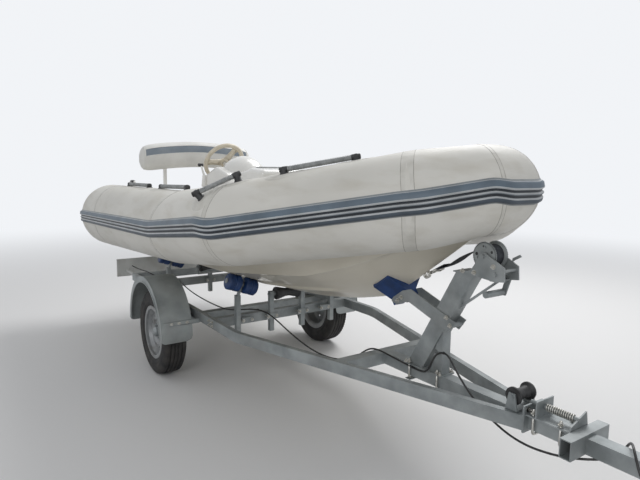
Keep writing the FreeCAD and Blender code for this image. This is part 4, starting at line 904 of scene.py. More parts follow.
def strip(row, start, end, lift):
    """A thin strip round the tube between two distances from a seam."""
    rings = []
    for offset, rise in ((start, -0.9), (start + 0.4, lift), (end - 0.4, lift), (end, -0.9)):
        ring = []
        for segment, turn in enumerate(TURNS):
            number = row[segment] + offset / ring_pitch(row[segment], segment)
            ring.append(skin(number, turn, pucker(row[segment], segment) + rise - SKIN_INSET))
        rings.append(ring)
    return sweep(rings, False)


WIDE_TAPE = 20
TAPE_LIFT = 0.5
LINE_HALF = 1.2
# Lift of the line on a narrow tape and on a wide one
LINE_LIFT = (0.6, 0.75)
tape_parts, line_parts = [], []
for row, half in SEAM_ROWS:
    tape_parts.append(strip(row, -half, half, TAPE_LIFT))
    for edge in (-half, half):
        line_parts.append(strip(row, edge - LINE_HALF, edge + LINE_HALF, LINE_LIFT[half > WIDE_TAPE]))
make_piece("seam_tapes", *gather(tape_parts), SEAM_CLOTH, False, slot="tube_fabric")
make_piece("seam_lines", *gather(line_parts), SEAM_LINE, slot="tube_fabric")
print("seams", len(SEAM_ROWS))

# %% [markdown]
# The rubbing strake is a rubber moulding glued round the widest line. It could be a profile swept along
# a curve, but its bands follow the tube, so the same rings carry them: each band is a strip of the
# section with its own tone, and the section shrinks to nothing at both ends. The near-black strips in
# the grooves and on their down-facing walls are painted shade.

# %% Rubbing strake
# Columns: height above the middle, reach past the skin, tone of the strip down to the next row
# The 'dark' strips line the grooves and their down-facing walls: that near-black is painted shade
STRAKE_SECTION = [
    (51, -1.5, "edge"), (50, 1.5, "edge"), (44, 2.5, "light"), (42, 8, "slate"), (36, 13.5, "slate"),
    (17, 14.5, "light"), (13, 14.5, "light"), (9, 9, "dark"), (5, 5, "dark"), (-1, 5, "light"), (-4, 10, "light"),
    (-7, 12, "grey"), (-11, 12, "dark"), (-14, 9, "dark"), (-18, 6.5, "dark"), (-22, 6.5, "light"),
    (-25, 10, "light"), (-29, 12, "deep"), (-42, 11.5, "deep"), (-45, 8, "dark"), (-46, 2.5, "edge"),
    (-50, 1.5, "edge"), (-51, -1.5, "edge"),
]
STRAKE_START = 5
# Rings over which the moulding tapers at each end
STRAKE_TAPER = 3


def ring_radius(number):
    """Half the distance from the crest to the bottom of a ring."""
    low = min(int(number), LAST_RING)
    quarter = SEGMENTS // 4
    return (GRID[low][0] - GRID[low][2 * quarter]).length / 2


def strake_mesh():
    """Points and faces of the moulding, and the tone of each face."""
    rings = []
    for number in range(STRAKE_START, LAST_RING - STRAKE_START + 1):
        radius = ring_radius(number)
        near_end = min(number - STRAKE_START, LAST_RING - STRAKE_START - number)
        share = min(1.0, 0.1 + near_end / STRAKE_TAPER)
        out = skin_way(number, math.pi / 2)
        ring = []
        for height, reach, tone in STRAKE_SECTION:
            turn = math.pi / 2 - math.asin(height * (0.5 + 0.5 * share) / radius)
            foot = grid_point(number, turn / (2 * math.pi) * SEGMENTS)
            ring.append(place(*(foot + out * (reach * share - SKIN_INSET))))
        rings.append(ring)
    count = len(STRAKE_SECTION)
    points = [point for ring in rings for point in ring]
    faces, tones = [], []
    for row in range(len(rings) - 1):
        for spot in range(count - 1):
            faces.append((row * count + spot, row * count + spot + 1, (row + 1) * count + spot + 1,
                          (row + 1) * count + spot))
            tones.append(STRAKE_SECTION[spot][2])
    return points, faces, tones


points, faces, tones = strake_mesh()
strake = make_piece("rubbing_strake", points, faces, STRAKE_RUBBER["slate"], slot="strake_rubber")
strake.data.materials.clear()
tone_names = list(STRAKE_RUBBER)
for tone in tone_names:
    strake.data.materials.append(STRAKE_RUBBER[tone])
strake.data.polygons.foreach_set("material_index", [tone_names.index(tone) for tone in tones])
outward(strake)
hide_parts("rubbing_strake_port", "rubbing_strake_starboard", "rubbing_strake_bow")
print("strake faces", len(strake.data.polygons))

# %% [markdown]
# Four grab handles a side. Each is a grey ribbed sleeve on a rope between two black rubber blocks, on
# an oval patch that is glued to the tube in two layers. Sleeve and blocks are turned pieces, and the
# repeat tree sets the ribs along the sleeve.

# %% Grab handles
# Columns: x and turn from the crest in degrees at the rear block and at the front one, lift of the sleeve
HANDLES = [(-740, 0, -210, 0, 16), (60, 0, 555, 0, 16), (1160, 48, 1250, 6, 34), (1465, 10, 1705, -6, 18)]
RIB = turned(Vector((0, 0, 0)), UP, [(-2.2, 10.5), (-1.2, 13.2), (1.2, 13.2), (2.2, 10.5)], 20)
RIB_PITCH = 0.0075
# Columns: half the length, half the width, lift
PATCH_LAYERS = [(70, 52, 1.1), (92, 74, 0.5)]
rib_spots, sleeve_parts, block_parts, patch_parts = [], [], [], []


def oval_patch(number, turn, long_half, wide_half, lift):
    """An oval of cloth that follows the skin."""
    pitch = ring_pitch(number, int(turn / (2 * math.pi) * SEGMENTS) % SEGMENTS)
    radius = ring_radius(number)
    rings = []
    for share in (0.02, 0.5, 0.97, 1.0):
        ring = []
        for step in range(40):
            angle = 2 * math.pi * step / 40
            along = long_half * share * math.cos(angle) / pitch
            around = wide_half * share * math.sin(angle) / radius
            ring.append(skin(number + along, turn + around, lift if share < 1 else -0.9))
        rings.append(ring)
    return sweep(rings, False)


for rear_x, rear_turn, front_x, front_turn, lift in HANDLES:
    for side in (1, -1):
        ends = []
        for x, turn in ((rear_x, rear_turn), (front_x, front_turn)):
            angle = math.radians(turn)
            number = ring_at(x, angle, side)
            ends.append((skin(number, angle, lift), skin_way(number, angle)))
            for layer in PATCH_LAYERS:
                patch_parts.append(oval_patch(number, angle, *layer))
        run = ends[1][0] - ends[0][0]
        way = run.normalized()
        sleeve_parts.append(turned(ends[0][0], way, [(0, 11), (run.length * 1000, 11)], 20))
        ribs = int(run.length / RIB_PITCH)
        for rib in range(3, ribs - 2):
            rib_spots.append((ends[0][0] + run * (rib / ribs), way, across_of(way)[0]))
        for (spot, upward), inner in zip(ends, (way, -way)):
            foot = spot - upward * (lift + 3) / 1000
            block_parts.append(turned(foot, upward, [(0, 22), (5, 21), (9, 17), (lift + 11, 15), (lift + 15, 12),
                                                     (lift + 17, 5)], 24))
            collar = [(0, 8), (3, 13), (34, 13.8), (40, 13.4), (41, 11)]
            block_parts.append(turned(spot - inner * 0.02, inner, collar, 20))
make_piece("handle_patches", *gather(patch_parts), SEAM_CLOTH, slot="tube_fabric")
sleeves = make_piece("handle_sleeves", *gather(sleeve_parts), HANDLE_GREY, slot="handle_rubber")
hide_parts("tube_handles")
repeated("handle_ribs", RIB, rib_spots, HANDLE_GREY, smooth=True)
make_piece("handle_blocks", *gather(block_parts), BLACK_RUBBER, slot="handle_rubber")
print("handle ribs", len(rib_spots))

# %% [markdown]
# A white rail with a black grip stands on each side of the stern, on two round feet. The bends are
# drawn as short curves with three control points, so that the bar keeps its thickness round them.

# %% Grab rails at the stern
RAIL_FEET = (-1230, -1090)
RAIL_TURN = math.radians(-25)
RAIL_HEIGHT = 60
rail_parts, grip_parts = [], []
for side in (1, -1):
    feet = [ring_at(x, RAIL_TURN, side) for x in RAIL_FEET]
    rear, front = [[skin(foot, RAIL_TURN, height) for height in (-6, 44, RAIL_HEIGHT)] for foot in feet]
    bent = rear[:2]
    for start, corner, end in ((rear[1], rear[2], rear[2].lerp(front[2], 0.12)),
                               (front[2].lerp(rear[2], 0.12), front[2], front[1])):
        for step in range(1, 7):
            share = step / 6
            bent.append(start * (1 - share) ** 2 + corner * 2 * share * (1 - share) + end * share ** 2)
    bent.append(front[0])
    rail_parts.append(pipe(bent, 9, 16))
    for foot in feet:
        plate = [(0, 26), (4, 25), (7, 18), (12, 11)]
        rail_parts.append(turned(skin(foot, RAIL_TURN, -1), skin_way(foot, RAIL_TURN), plate, 24))
    grip_parts.append(pipe([rear[2].lerp(front[2], 0.16), rear[2].lerp(front[2], 0.84)], 11.5, 18))
rails = make_piece("stern_grab_rails", *gather(rail_parts), WHITE_GELCOAT, slot="gelcoat_white")
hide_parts("grab_rails")
make_piece("grab_rail_grips", *gather(grip_parts), BLACK_RUBBER, slot="handle_rubber")
print("grab rails", len(grip_parts))

# %% [markdown]
# The solid tyre is a plain ring. Here it gets a real section, turned about the axle: bead, sidewall with
# raised rings, shoulder and a crowned tread with grooves. The repeat tree adds the tread's blocks, whose
# edges catch the light as a bump map's wouldn't.

# %% Tyres
TYRE_RADIUS = 289
TRACK_HALF = 661
TREAD_HALF = 58
TREAD_CROWN = 3.2
GROOVES = (-36, -12, 12, 36)
GROOVE_DEPTH = 7
GROOVE_FLOOR, GROOVE_MOUTH = 3.5, 4.5
TREAD_COUNT = 78


def tyre_outline():
    """Distance across and radius of the section, from the inner bead over the tread to the outer one."""
    side = [(60, 168), (62, 182), (67, 190), (73, 205), (73.8, 208), (72.6, 210), (77, 228), (77.4, 240),
            (76.2, 243), (76.5, 250), (72, 266), (66, 277), (60, 283), (57, 285.5)]
    tread = []
    for groove in GROOVES:
        for offset in (-GROOVE_MOUTH, -GROOVE_FLOOR, GROOVE_FLOOR, GROOVE_MOUTH):
            across, depth = groove + offset, GROOVE_DEPTH if abs(offset) < GROOVE_MOUTH else 0
            crown = TREAD_CROWN * (across / TREAD_HALF) ** 2
            tread.append((across, TYRE_RADIUS - 0.6 - crown - depth))
    return [(-across, radius) for across, radius in side] + tread + list(reversed(side))


def tread_block(length=11, width=21):
    """A low block, long across the tyre, with sloped sides, standing on z = 0."""
    rings = []
    for height, share in ((-4, 1.0), (1.6, 1.0), (2.4, 0.86)):
        x, y = length / 2 * share, width / 2 * share
        rings.append([Vector((a * x, b * y, height)) / 1000 for a, b in ((-1, -1), (1, -1), (1, 1), (-1, 1))])
    return sweep(rings)


for side, sign in (("port", 1), ("starboard", -1)):
    centre = place(0, TRACK_HALF * sign, TYRE_RADIUS)
    points, faces = turned(centre, PORT, tyre_outline(), 120, True)
    tyre = make_piece("tyre_" + side + "_rubber", points, faces, TREAD_RUBBER, body="wheel_" + side, slot="tyre")
    outward(tyre)
    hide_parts("tyre_" + side)
    spots = []
    for step in range(TREAD_COUNT):
        for row, across in enumerate((-50, -24, 0, 24, 50)):
            turn = 2 * math.pi * (step + 0.5 * (row % 2)) / TREAD_COUNT
            way = Vector((math.cos(turn), 0, math.sin(turn)))
            lean = 0.25 if abs(across) < 45 else 0.0
            crown = TREAD_CROWN * (across / TREAD_HALF) ** 2 + (2.2 if abs(across) > 45 else 1.2)
            spot = centre + way * (TYRE_RADIUS - crown - 1.8) / 1000 + PORT * across / 1000
            spots.append((spot, way, (way.cross(PORT) + PORT * lean).normalized()))
    repeated("tread_" + side, tread_block(), spots, TREAD_RUBBER, body="wheel_" + side)
print("tread blocks a wheel", TREAD_COUNT * 5)

# %% [markdown]
# The backrest is a sewn bolster: white vinyl with a slate band on the front of its top, and piping
# round its ends. Cloth simulation could puff it up, but its form is simple and even, so it is a sweep of
# one section that drops toward its ends and pulls in where it closes, with a slight unevenness.

# %% Backrest
REST_SECTION = [
    (-996, 1455), (-986, 1425), (-968, 1411), (-948, 1409), (-932, 1420), (-917, 1450),
    (-909, 1482), (-906, 1508), (-906, 1534), (-909, 1566), (-915, 1594), (-925, 1611),
    (-940, 1622), (-960, 1627), (-980, 1618), (-993, 1600), (-999, 1560), (-1000, 1510),
]
SLATE_EDGES = (8, 10)
REST_HALF = 500
END_DROP = 46
REST_MIDDLE = tuple(sum(spot[axis] for spot in REST_SECTION) / len(REST_SECTION) for axis in (0, 1))


def closing(y):
    """Share of the full section that is left at y, where the ends pull in."""
    return max(0.05, 1 - abs(y / REST_HALF) ** 14) ** 0.35


def backrest_ring(y, shrink):
    """Section of the bolster at y, lower and thinner toward its ends."""
    drop = END_DROP * abs(y / REST_HALF) ** 1.8
    wave = 1.4 * noise.noise(Vector((y / 60, 0, 3)))
    return [place(REST_MIDDLE[0] + (x - REST_MIDDLE[0]) * shrink, y,
                  REST_MIDDLE[1] + (z - REST_MIDDLE[1]) * shrink - drop + wave) for x, z in REST_SECTION]


def build_backrest():
    rings = []
    for step in range(61):
        y = REST_HALF * math.sin((-1 + step / 30) * math.pi / 2)
        rings.append(backrest_ring(y * 0.998, closing(y)))
    piece = make_piece("backrest_bolster", *sweep(rings), WHITE_VINYL, slot="upholstery")
    piece.data.materials.append(SLATE_VINYL)
    count = len(REST_SECTION)
    for number, face in enumerate(piece.data.polygons):
        row, spot = divmod(number, count)
        if 7 < row < len(rings) - 9 and spot in range(*SLATE_EDGES):
            face.material_index = 1
    outward(piece)
    return piece


backrest = build_backrest()
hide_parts("backrest")
piping = []
for edge in SLATE_EDGES:
    spans = [REST_HALF * math.sin((-0.73 + 1.46 * step / 40) * math.pi / 2) for step in range(41)]
    piping.append(pipe([backrest_ring(span, closing(span))[edge] for span in spans], 2.4, 8))
for end in (-1, 1):
    ring = backrest_ring(end * REST_HALF * 0.93, closing(REST_HALF * 0.93))
    piping.append(pipe(ring + ring[:1], 3, 8))
make_piece("backrest_piping", *gather(piping), WHITE_VINYL, slot="upholstery")
leg_parts = []
for y in (-287, 287):
    leg_parts.append(slab(oblong(-975, -949, 1180, 1430), y - 13, y + 13))
    leg_parts.append(slab(oblong(-985, -939, 1180, 1186), y - 23, y + 23))
    for x in (-980, -944):
        bolt(x, y + 17, 1186, UP)
legs = make_piece("backrest_legs", *gather(leg_parts), WHITE_GELCOAT, False, slot="gelcoat_white")
bevel(legs, 3)
print("backrest faces", len(backrest.data.polygons))

# %% [markdown]
# The console is a moulded shell with soft edges. It carries a dome, a dash with gauges, a hatch in each
# side, the wheel's column and the throttle. The shell is a plate with a wide bevel, which gives even
# round edges at once, and the dome is a stack of rings cut flat at the sides.

# %% Console
FLOOR_Z = 862
CONSOLE_HALF = 210
CONSOLE = [(-330, FLOOR_Z), (140, FLOOR_Z), (118, 1290), (60, 1372), (-110, 1418), (-300, 1352), (-345, 1270),
           (-300, 1130)]
console = moulded("console_shell", CONSOLE, -CONSOLE_HALF, CONSOLE_HALF, 28, 5)
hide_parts("console")
DOME_PLACE = Vector((-60, 0, 1326))
DOME_RADIUS = 170
dome_rings = []
for step in range(17):
    lift = math.radians(1 + 88 * step / 16)
    reach, height = DOME_RADIUS * math.cos(lift), DOME_RADIUS * math.sin(lift)
    dome_rings.append([place(DOME_PLACE.x + reach * math.cos(turn), min(max(reach * math.sin(turn), -150), 150),
                             DOME_PLACE.z + height) for turn in TURNS])
dome = make_piece("console_dome", *sweep(dome_rings), WHITE_GELCOAT, slot="gelcoat_white")
outward(dome)
HELM = place(-400, 0, 1452)
HELM_RAKE = math.radians(58)
helm_axis = Vector((-math.sin(HELM_RAKE), 0, math.cos(HELM_RAKE)))
column_outline = [(0, 18), (40, 24), (90, 36), (150, 52)]
column = turned(HELM - helm_axis * 0.0145, -helm_axis, column_outline, 32)
make_piece("helm_column", *column, WHITE_GELCOAT, slot="gelcoat_white")
LEVER_FOOT = Vector((-300, -197, 1335))
LEVER_WAY = Vector((-0.6, 0, 0.8))
LEVER_LENGTH = 112
throttle_outline = [(-335, 1262), (-262, 1262), (-262, 1352), (-312, 1352)]
moulded("throttle_base", throttle_outline, -222, -188, 6, 3)
lever_outline = [(0, 9), (LEVER_LENGTH - 6, 6.5), (LEVER_LENGTH, 5)]
lever = turned(place(*(LEVER_FOOT + Vector((0, -10, 0)))), LEVER_WAY, lever_outline, 16)
make_piece("throttle_lever", *lever, WHITE_GELCOAT, slot="gelcoat_white")
knob_foot = LEVER_FOOT + LEVER_WAY * LEVER_LENGTH + Vector((0, -34, 2))
knob = turned(place(*knob_foot), PORT, [(0, 7), (3, 12), (37, 12), (40, 7)], 20)
make_piece("throttle_knob", *knob, BLACK_RUBBER, slot="gelcoat_white")
DASH_REAR, DASH_FRONT = (-300, 1352), (-110, 1418)
DASH_SLOPE = (DASH_FRONT[1] - DASH_REAR[1]) / (DASH_FRONT[0] - DASH_REAR[0])
DASH_UP = Vector((-DASH_SLOPE, 0, 1)).normalized()
GAUGE_X = -240
gauge_parts, glass_parts = [], []
for y in (-120, -45, 120):
    spot = place(GAUGE_X, y, DASH_REAR[1] + (GAUGE_X - DASH_REAR[0]) * DASH_SLOPE)
    gauge_parts.append(turned(spot, DASH_UP, [(-2, 30), (4, 30), (5, 27), (2, 26), (2, 1)], 32))
    glass_parts.append(turned(spot, DASH_UP, [(1, 26), (2.6, 26), (3, 22)], 32))
make_piece("gauge_rims", *gather(gauge_parts), ZINC, slot="gelcoat_white")
make_piece("gauge_faces", *gather(glass_parts), CABLE_JACKET, slot="gelcoat_white")
hatch = [slab(oblong(-240, 60, 930, 1190), side * CONSOLE_HALF - 2.5,
              side * CONSOLE_HALF + 2.5) for side in (-1, 1)]
hatches = make_piece("console_hatches", *gather(hatch), WHITE_GELCOAT, False, slot="gelcoat_white")
bevel(hatches, 2)
print("console hatches", len(hatch))

# %% [markdown]
# The seat ahead of the console is a moulded box with a hatch in its sloping top and a door in front. The
# bench behind has a thick lid and two latches. All are plates with bevels, as the console is.

# %% Seats
SEAT = [(150, FLOOR_Z), (600, FLOOR_Z), (592, 1180), (585, 1399), (418, 1411), (250, 1380), (165, 1300)]
seat = moulded("front_seat_shell", SEAT, -200, 200, 30, 5)
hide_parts("front_seat")
moulded("front_seat_door", oblong(-140, 140, 920, 1150), 592, 600, 3, plane="yz")
HATCH_LOW, HATCH_HIGH = Vector((262, 0, 1383)), Vector((408, 0, 1410))
hatch_way = (HATCH_HIGH - HATCH_LOW).normalized()
hatch_up = Vector((-hatch_way.z, 0, hatch_way.x))
hatch_line = [HATCH_LOW - hatch_up, HATCH_HIGH - hatch_up, HATCH_HIGH + hatch_up * 9, HATCH_LOW + hatch_up * 9]
moulded("front_hatch", [(spot.x, spot.z) for spot in hatch_line], -125, 125, 4, 3)
frame_spots = [(HATCH_LOW, -132), (HATCH_HIGH, -132), (HATCH_HIGH, 132), (HATCH_LOW, 132), (HATCH_LOW, -132)]
frame_path = [tuple(spot + hatch_up * 4 + Vector((0, y, 0))) for spot, y in frame_spots]
make_piece("front_hatch_seal", *pipe(rounded(frame_path, 16), 5, 10), HANDLE_GREY, slot="gelcoat_white")
bench = moulded("bench_box", oblong(-1150, -800, FLOOR_Z, 1112), -318, 318, 16, 4)
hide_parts("rear_bench")
moulded("bench_lid", oblong(-1165, -780, 1112, 1180), -330, 330, 20, 4)
latch_parts = []
for y in (-150, 150):
    latch_parts.append(slab(oblong(-800, -794, 1060, 1120), y - 14, y + 14))
make_piece("bench_latches", *gather(latch_parts), ZINC, False, slot="gelcoat_white")
print("seats", 2)

# %% [markdown]
# The wheel is one cream moulding: a thick rim with slight finger waves, three flat spokes and a hub. The
# rim is a looped sweep, so that its thickness can change as it goes round, which a torus can't do.

# %% Steering wheel
GRIP_REACH, GRIP_THICKNESS, GRIP_WAVE = 150, 16.5, 0.4
helm_up = Vector((math.cos(HELM_RAKE), 0, math.sin(HELM_RAKE)))
grip_rings = []
for step in range(96):
    turn = 2 * math.pi * step / 96
    out = helm_up * math.cos(turn) + PORT * math.sin(turn)
    thick = GRIP_THICKNESS + GRIP_WAVE * math.cos(24 * turn)
    ring = []
    for spot in range(20):
        angle = 2 * math.pi * spot / 20
        around = out * (GRIP_REACH + thick * math.cos(angle)) + helm_axis * thick * math.sin(angle)
        ring.append(HELM + around / 1000)
    grip_rings.append(ring)
grip_points, grip_faces = sweep(grip_rings, False, True)
spoke_parts = [(grip_points, grip_faces)]
for step in (30, 150, 270):
    turn = math.radians(step)
    out = helm_up * math.cos(turn) + PORT * math.sin(turn)
    side = helm_axis.cross(out)
    rings = []
    for reach, half, low, high in ((26, 27, -8, 6), (70, 22, -7, 6), (110, 21, -7, 6), (142, 30, -6, 6)):
        ring = []
        for across, rise in ((-1, low), (-0.9, high), (0.9, high), (1, low)):
            ring.append(HELM + (out * reach + side * half * across + helm_axis * rise) / 1000)
        rings.append(ring)
    spoke_parts.append(sweep(rings))
hub_outline = [(0, 34), (2, 36), (20, 36), (26, 30), (27, 8)]
spoke_parts.append(turned(HELM - helm_axis * 0.013, helm_axis, hub_outline, 40))
wheel = make_piece("helm_wheel", *gather(spoke_parts), CREAM_PLASTIC, body="steering_wheel", slot="wheel_cream")
outward(wheel)
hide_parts("steering_wheel")
print("helm wheel faces", len(wheel.data.polygons))

# %% [markdown]
# The hull is a smooth loft of the same sections that shape the solid, with a transom board, a spray rail
# and a chine flat on each side. Its cockpit is cut out with a boolean modifier, which keeps the sections
# simple: they needn't know where the cockpit starts and ends.

# %% Hull
# Columns: x, keel z, chine y, chine z, y of the edge under the tube, z of that edge
HULL = [
    (-1400, 588, 470, 750, 520, 862), (0, 606, 470, 762, 530, 880), (600, 622, 450, 778, 540, 925),
    (1000, 655, 395, 826, 540, 990), (1340, 712, 345, 868, 500, 1040), (1600, 778, 265, 955, 396, 1107),
    (1780, 902, 196, 1030, 322, 1160), (1990, 1054, 110, 1132, 240, 1230), (2180, 1195, 40, 1215, 150, 1262),
]
CHINE_FLAT = 14
# Shares of the bottom between which the spray rail lies, how far it drops, and where it ends ahead
SPRAY_SHARES, SPRAY_DROP, SPRAY_FRONT = (0.415, 0.42), 13, 1340
HULL_STATIONS = 76


def hull_values(x):
    """Section values at x, between the rows by straight lines with their corners eased."""
    reach = 45
    total = [0.0] * 5
    for step in range(-2, 3):
        spot = min(max(x + step * reach / 2, HULL[0][0]), HULL[-1][0])
        low, high = next((low, high) for low, high in zip(HULL, HULL[1:]) if low[0] <= spot <= high[0])
        share = (spot - low[0]) / (high[0] - low[0])
        total = [value + (before + (after - before) * share) / 5
                 for value, before, after in zip(total, low[1:], high[1:])]
    return total


def hull_ring(x):
    """Corners of the section at x, from the keel up the port side and down the starboard side."""
    keel, chine_y, chine_z, side_y, deck = hull_values(x)
    slope = (chine_z - keel) / chine_y
    port = [(7, keel + 2), (20, keel + 20 * slope + 0.5)]
    for share in (0.2, *SPRAY_SHARES, 0.44, 0.7, 0.9):
        drop = SPRAY_DROP if share in SPRAY_SHARES and x < SPRAY_FRONT else 0
        port.append((chine_y * share, keel + chine_y * share * slope - drop))
    port += [(chine_y - 2, chine_z - 2 * slope), (chine_y + 2, chine_z), (chine_y + CHINE_FLAT - 1, chine_z + 1),
             (chine_y + CHINE_FLAT + 1, chine_z + 4)]
    for share in (0.3, 0.6, 1.0):
        flat_edge = chine_y + CHINE_FLAT
        port.append((flat_edge + (side_y - flat_edge) * share, chine_z + (deck - chine_z) * share))
    corners = [(0, keel)] + port + [(-y, z) for y, z in reversed(port)]
    return [place(x, y, z) for y, z in corners]


def stern_to_bow():
    """Places of the sections along the hull."""
    return [HULL[0][0] + (HULL[-1][0] - HULL[0][0]) * step / HULL_STATIONS for step in range(HULL_STATIONS + 1)]


hull = make_piece("hull_shell", *sweep([hull_ring(x) for x in stern_to_bow()]), HULL_GELCOAT, False,
                  slot="gelcoat_cream")
outward(hull)
cockpit_outline = oblong(-1355, 640, FLOOR_Z, 1400)
cockpit = make_piece("cockpit_cutter", *slab(cockpit_outline, -385, 385), HULL_GELCOAT, False, None)
cutter = hull.modifiers.new("cockpit", "BOOLEAN")
cutter.operation = "DIFFERENCE"
cutter.object = cockpit
cutter.solver = "EXACT"
apply_modifiers(hull)
bpy.data.objects.remove(cockpit)
hull.data.polygons.foreach_set("use_smooth", [True] * len(hull.data.polygons))
hull.data.set_sharp_from_angle(angle=math.radians(32))
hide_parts("hull")
board_outline = [(-340, 845), (340, 845), (300, 1085), (-300, 1085)]
moulded("transom_board", board_outline, -1422, -1355, 8, 3, "yz", HULL_GELCOAT, "gelcoat_cream")
EYE_X, EYE_OUT, EYE_REACH = 1820, 8, 15


def keel_height(x):
    """Height of the keel at x."""
    low, high = next((low, high) for low, high in zip(HULL, HULL[1:]) if low[0] <= x <= high[0])
    return low[1] + (high[1] - low[1]) * (x - low[0]) / (high[0] - low[0])


eye_slope = (keel_height(EYE_X + 5) - keel_height(EYE_X - 5)) / 10
eye_way = Vector((eye_slope, 0, -1)).normalized()
BOW_EYE = Vector((EYE_X, 0, keel_height(EYE_X))) + eye_way * EYE_OUT
eye_path = [place(*(BOW_EYE + Vector((math.cos(turn), 0, math.sin(turn))) * EYE_REACH)) for turn in TURNS[::4]]
make_piece("bow_eye", *pipe(eye_path + eye_path[:1], 5, 12), ZINC, slot="gelcoat_cream")
drain_parts = [turned(place(-1400, y, 900), AFT, [(-2, 14), (3, 14), (4, 11)], 24) for y in (-250, 250)]
make_piece("transom_drains", *gather(drain_parts), BLACK_RUBBER, slot="gelcoat_cream")
print("hull faces", len(hull.data.polygons))

# %% [markdown]
# The strap pack fills the drum between its toothed flanges, and the tight strap runs down to the hook at
# the bow eye with a slight twist. The frame, drum and crank are the solids. A belt is a flat section
# swept along a line, so its twist and sag are two short formulas.

# %% Winch fittings
WINCH = Vector((2180, 0, 1066))
PACK_RADIUS = 46.6
PACK_WIDTH = 58
FLANGE_FACE = 38
# Distance from the drum's axis at which the belt runs off, half its width, sag and twist in the middle
BELT_LINE, BELT_HALF, BELT_SAG, BELT_TWIST = 45, 25, 5, 0.6
BELT_STEPS = 40
pack_outline = [(0, 12), (0.2, PACK_RADIUS - 0.4), (PACK_WIDTH - 0.2, PACK_RADIUS - 0.4), (PACK_WIDTH, 12)]
pack = turned(place(*(WINCH - Vector((0, PACK_WIDTH / 2, 0)))), PORT, pack_outline, 64)
make_piece("strap_pack", *pack, WEBBING, slot="webbing")
# Black discs on the outer flange faces stand for the flanges' holes: their black is painted shade
hole_parts = []
for face_y, way in ((-FLANGE_FACE, STARBOARD), (FLANGE_FACE, PORT)):
    for step, hole in enumerate((6, 4, 7, 4, 6)):
        turn = 2 * math.pi * (step + 0.4) / 5
        spot = place(*(WINCH + Vector((math.cos(turn) * 40, face_y, math.sin(turn) * 40))))
        hole_parts.append(turned(spot, way, [(-1, hole), (0.3, hole), (0.4, hole - 1)], 20))
make_piece("winch_marks", *gather(hole_parts), BLACK_RUBBER, slot="galvanised")
tooth_rings = []
for y in (-2, 2):
    tooth_rings.append([Vector((x, y, z)) / 1000 for x, z in ((-3.2, -2), (3.2, -2), (1.2, 3.6), (-1.2, 3.6))])
TOOTH = sweep(tooth_rings)
tooth_spots = []
for y in (-36, 36):
    for step in range(48):
        turn = 2 * math.pi * step / 48
        way = Vector((math.cos(turn), 0, math.sin(turn)))
        tooth_spots.append((place(*(WINCH + Vector((0, y, 0)))) + way * 0.0555, way, way.cross(PORT)))
repeated("winch_teeth", TOOTH, tooth_spots, GALVANISED)
for y in (-48, 48):
    way = STARBOARD if y < 0 else PORT
    for x, z in ((2080, 990), (2140, 992), (2234, 1030)):
        bolt(x, y, z, way)
eye_end = BOW_EYE + Vector((58, 0, 26))
lean = math.atan2(WINCH.z - eye_end.z, WINCH.x - eye_end.x)
reach = (WINCH - eye_end).length
strap_turn = lean + math.asin(BELT_LINE / reach)
strap_span = math.sqrt(reach ** 2 - BELT_LINE ** 2)
strap_way = Vector((math.cos(strap_turn), 0, math.sin(strap_turn)))
strap_up = Vector((-math.sin(strap_turn), 0, math.cos(strap_turn)))
BELT_SECTION = [(-BELT_HALF, -0.8), (1 - BELT_HALF, -1.3), (BELT_HALF - 1, -1.3), (BELT_HALF, -0.8)]
BELT_SECTION += [(-across, -rise) for across, rise in BELT_SECTION]
belt_rings = []
for step in range(BELT_STEPS + 1):
    share = step / BELT_STEPS
    sag = -BELT_SAG * math.sin(math.pi * share)
    centre = eye_end + strap_way * (strap_span * share) + strap_up * (1.5 + sag)
    roll = BELT_TWIST * math.sin(math.pi * share) ** 2
    across = PORT * math.cos(roll) + strap_up * math.sin(roll)
    lift = strap_up * math.cos(roll) - PORT * math.sin(roll)
    belt_rings.append([place(*(centre + across * a + lift * b)) for a, b in BELT_SECTION])
belt_parts = [sweep(belt_rings)]
fold = []
for step in range(9):
    share = step / 8
    centre = eye_end + strap_way * (8 + 74 * share) + strap_up * 4.6
    fold.append([place(*(centre + PORT * across + strap_up * rise)) for across, rise in
                 ((-24, -1.3), (24, -1.3), (24, 1.3), (-24, 1.3))])
belt_parts.append(sweep(fold))
belt = make_piece("winch_belt", *gather(belt_parts), WEBBING, slot="webbing")
outward(belt)
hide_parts("winch_strap")
pull = (eye_end - BOW_EYE).normalized()
lift = pull.cross(Vector((0, 1, 0)))
hook = []
for step in range(25):
    turn = math.radians(-205 + 290 * step / 24)
    hook.append(place(*(BOW_EYE + pull * 12 + (pull * math.cos(turn) + lift * math.sin(turn)) * 15)))
hook_parts = [pipe([place(*(eye_end - pull * 4)), place(*(BOW_EYE + pull * 30))], 6, 14), pipe(hook, 4.2, 12)]
frame_bar = [place(*(eye_end + PORT * y)) for y in (-30, 30)]
hook_parts.append(pipe(frame_bar, 5, 12))
for y in (-30, 30):
    hook_parts.append(pipe([place(*(eye_end + PORT * y)), place(*(eye_end + strap_way * 26 + PORT * y))], 4, 12))
hook_parts.append(pipe([place(*(eye_end + strap_way * 26 + PORT * y)) for y in (-30, 30)], 4, 12))
make_piece("strap_hook", *gather(hook_parts), ZINC, slot="webbing")
STITCH = sweep([[Vector((x, y, z)) / 1000 for x, z in ((-0.6, 0), (0.6, 0), (0.6, 0.7), (-0.6, 0.7))]
                for y in (-2.4, 2.4)])
stitch_spots = []
for row in range(5):
    for step in range(7):
        spot = place(*(eye_end + strap_way * (18 + 13 * row) + PORT * (-18 + 6 * step) + strap_up * 5.9))
        stitch_spots.append((spot, strap_up, strap_way))
repeated("belt_stitches", STITCH, stitch_spots, HANDLE_GREY)
print("belt", round(strap_span), "mm")

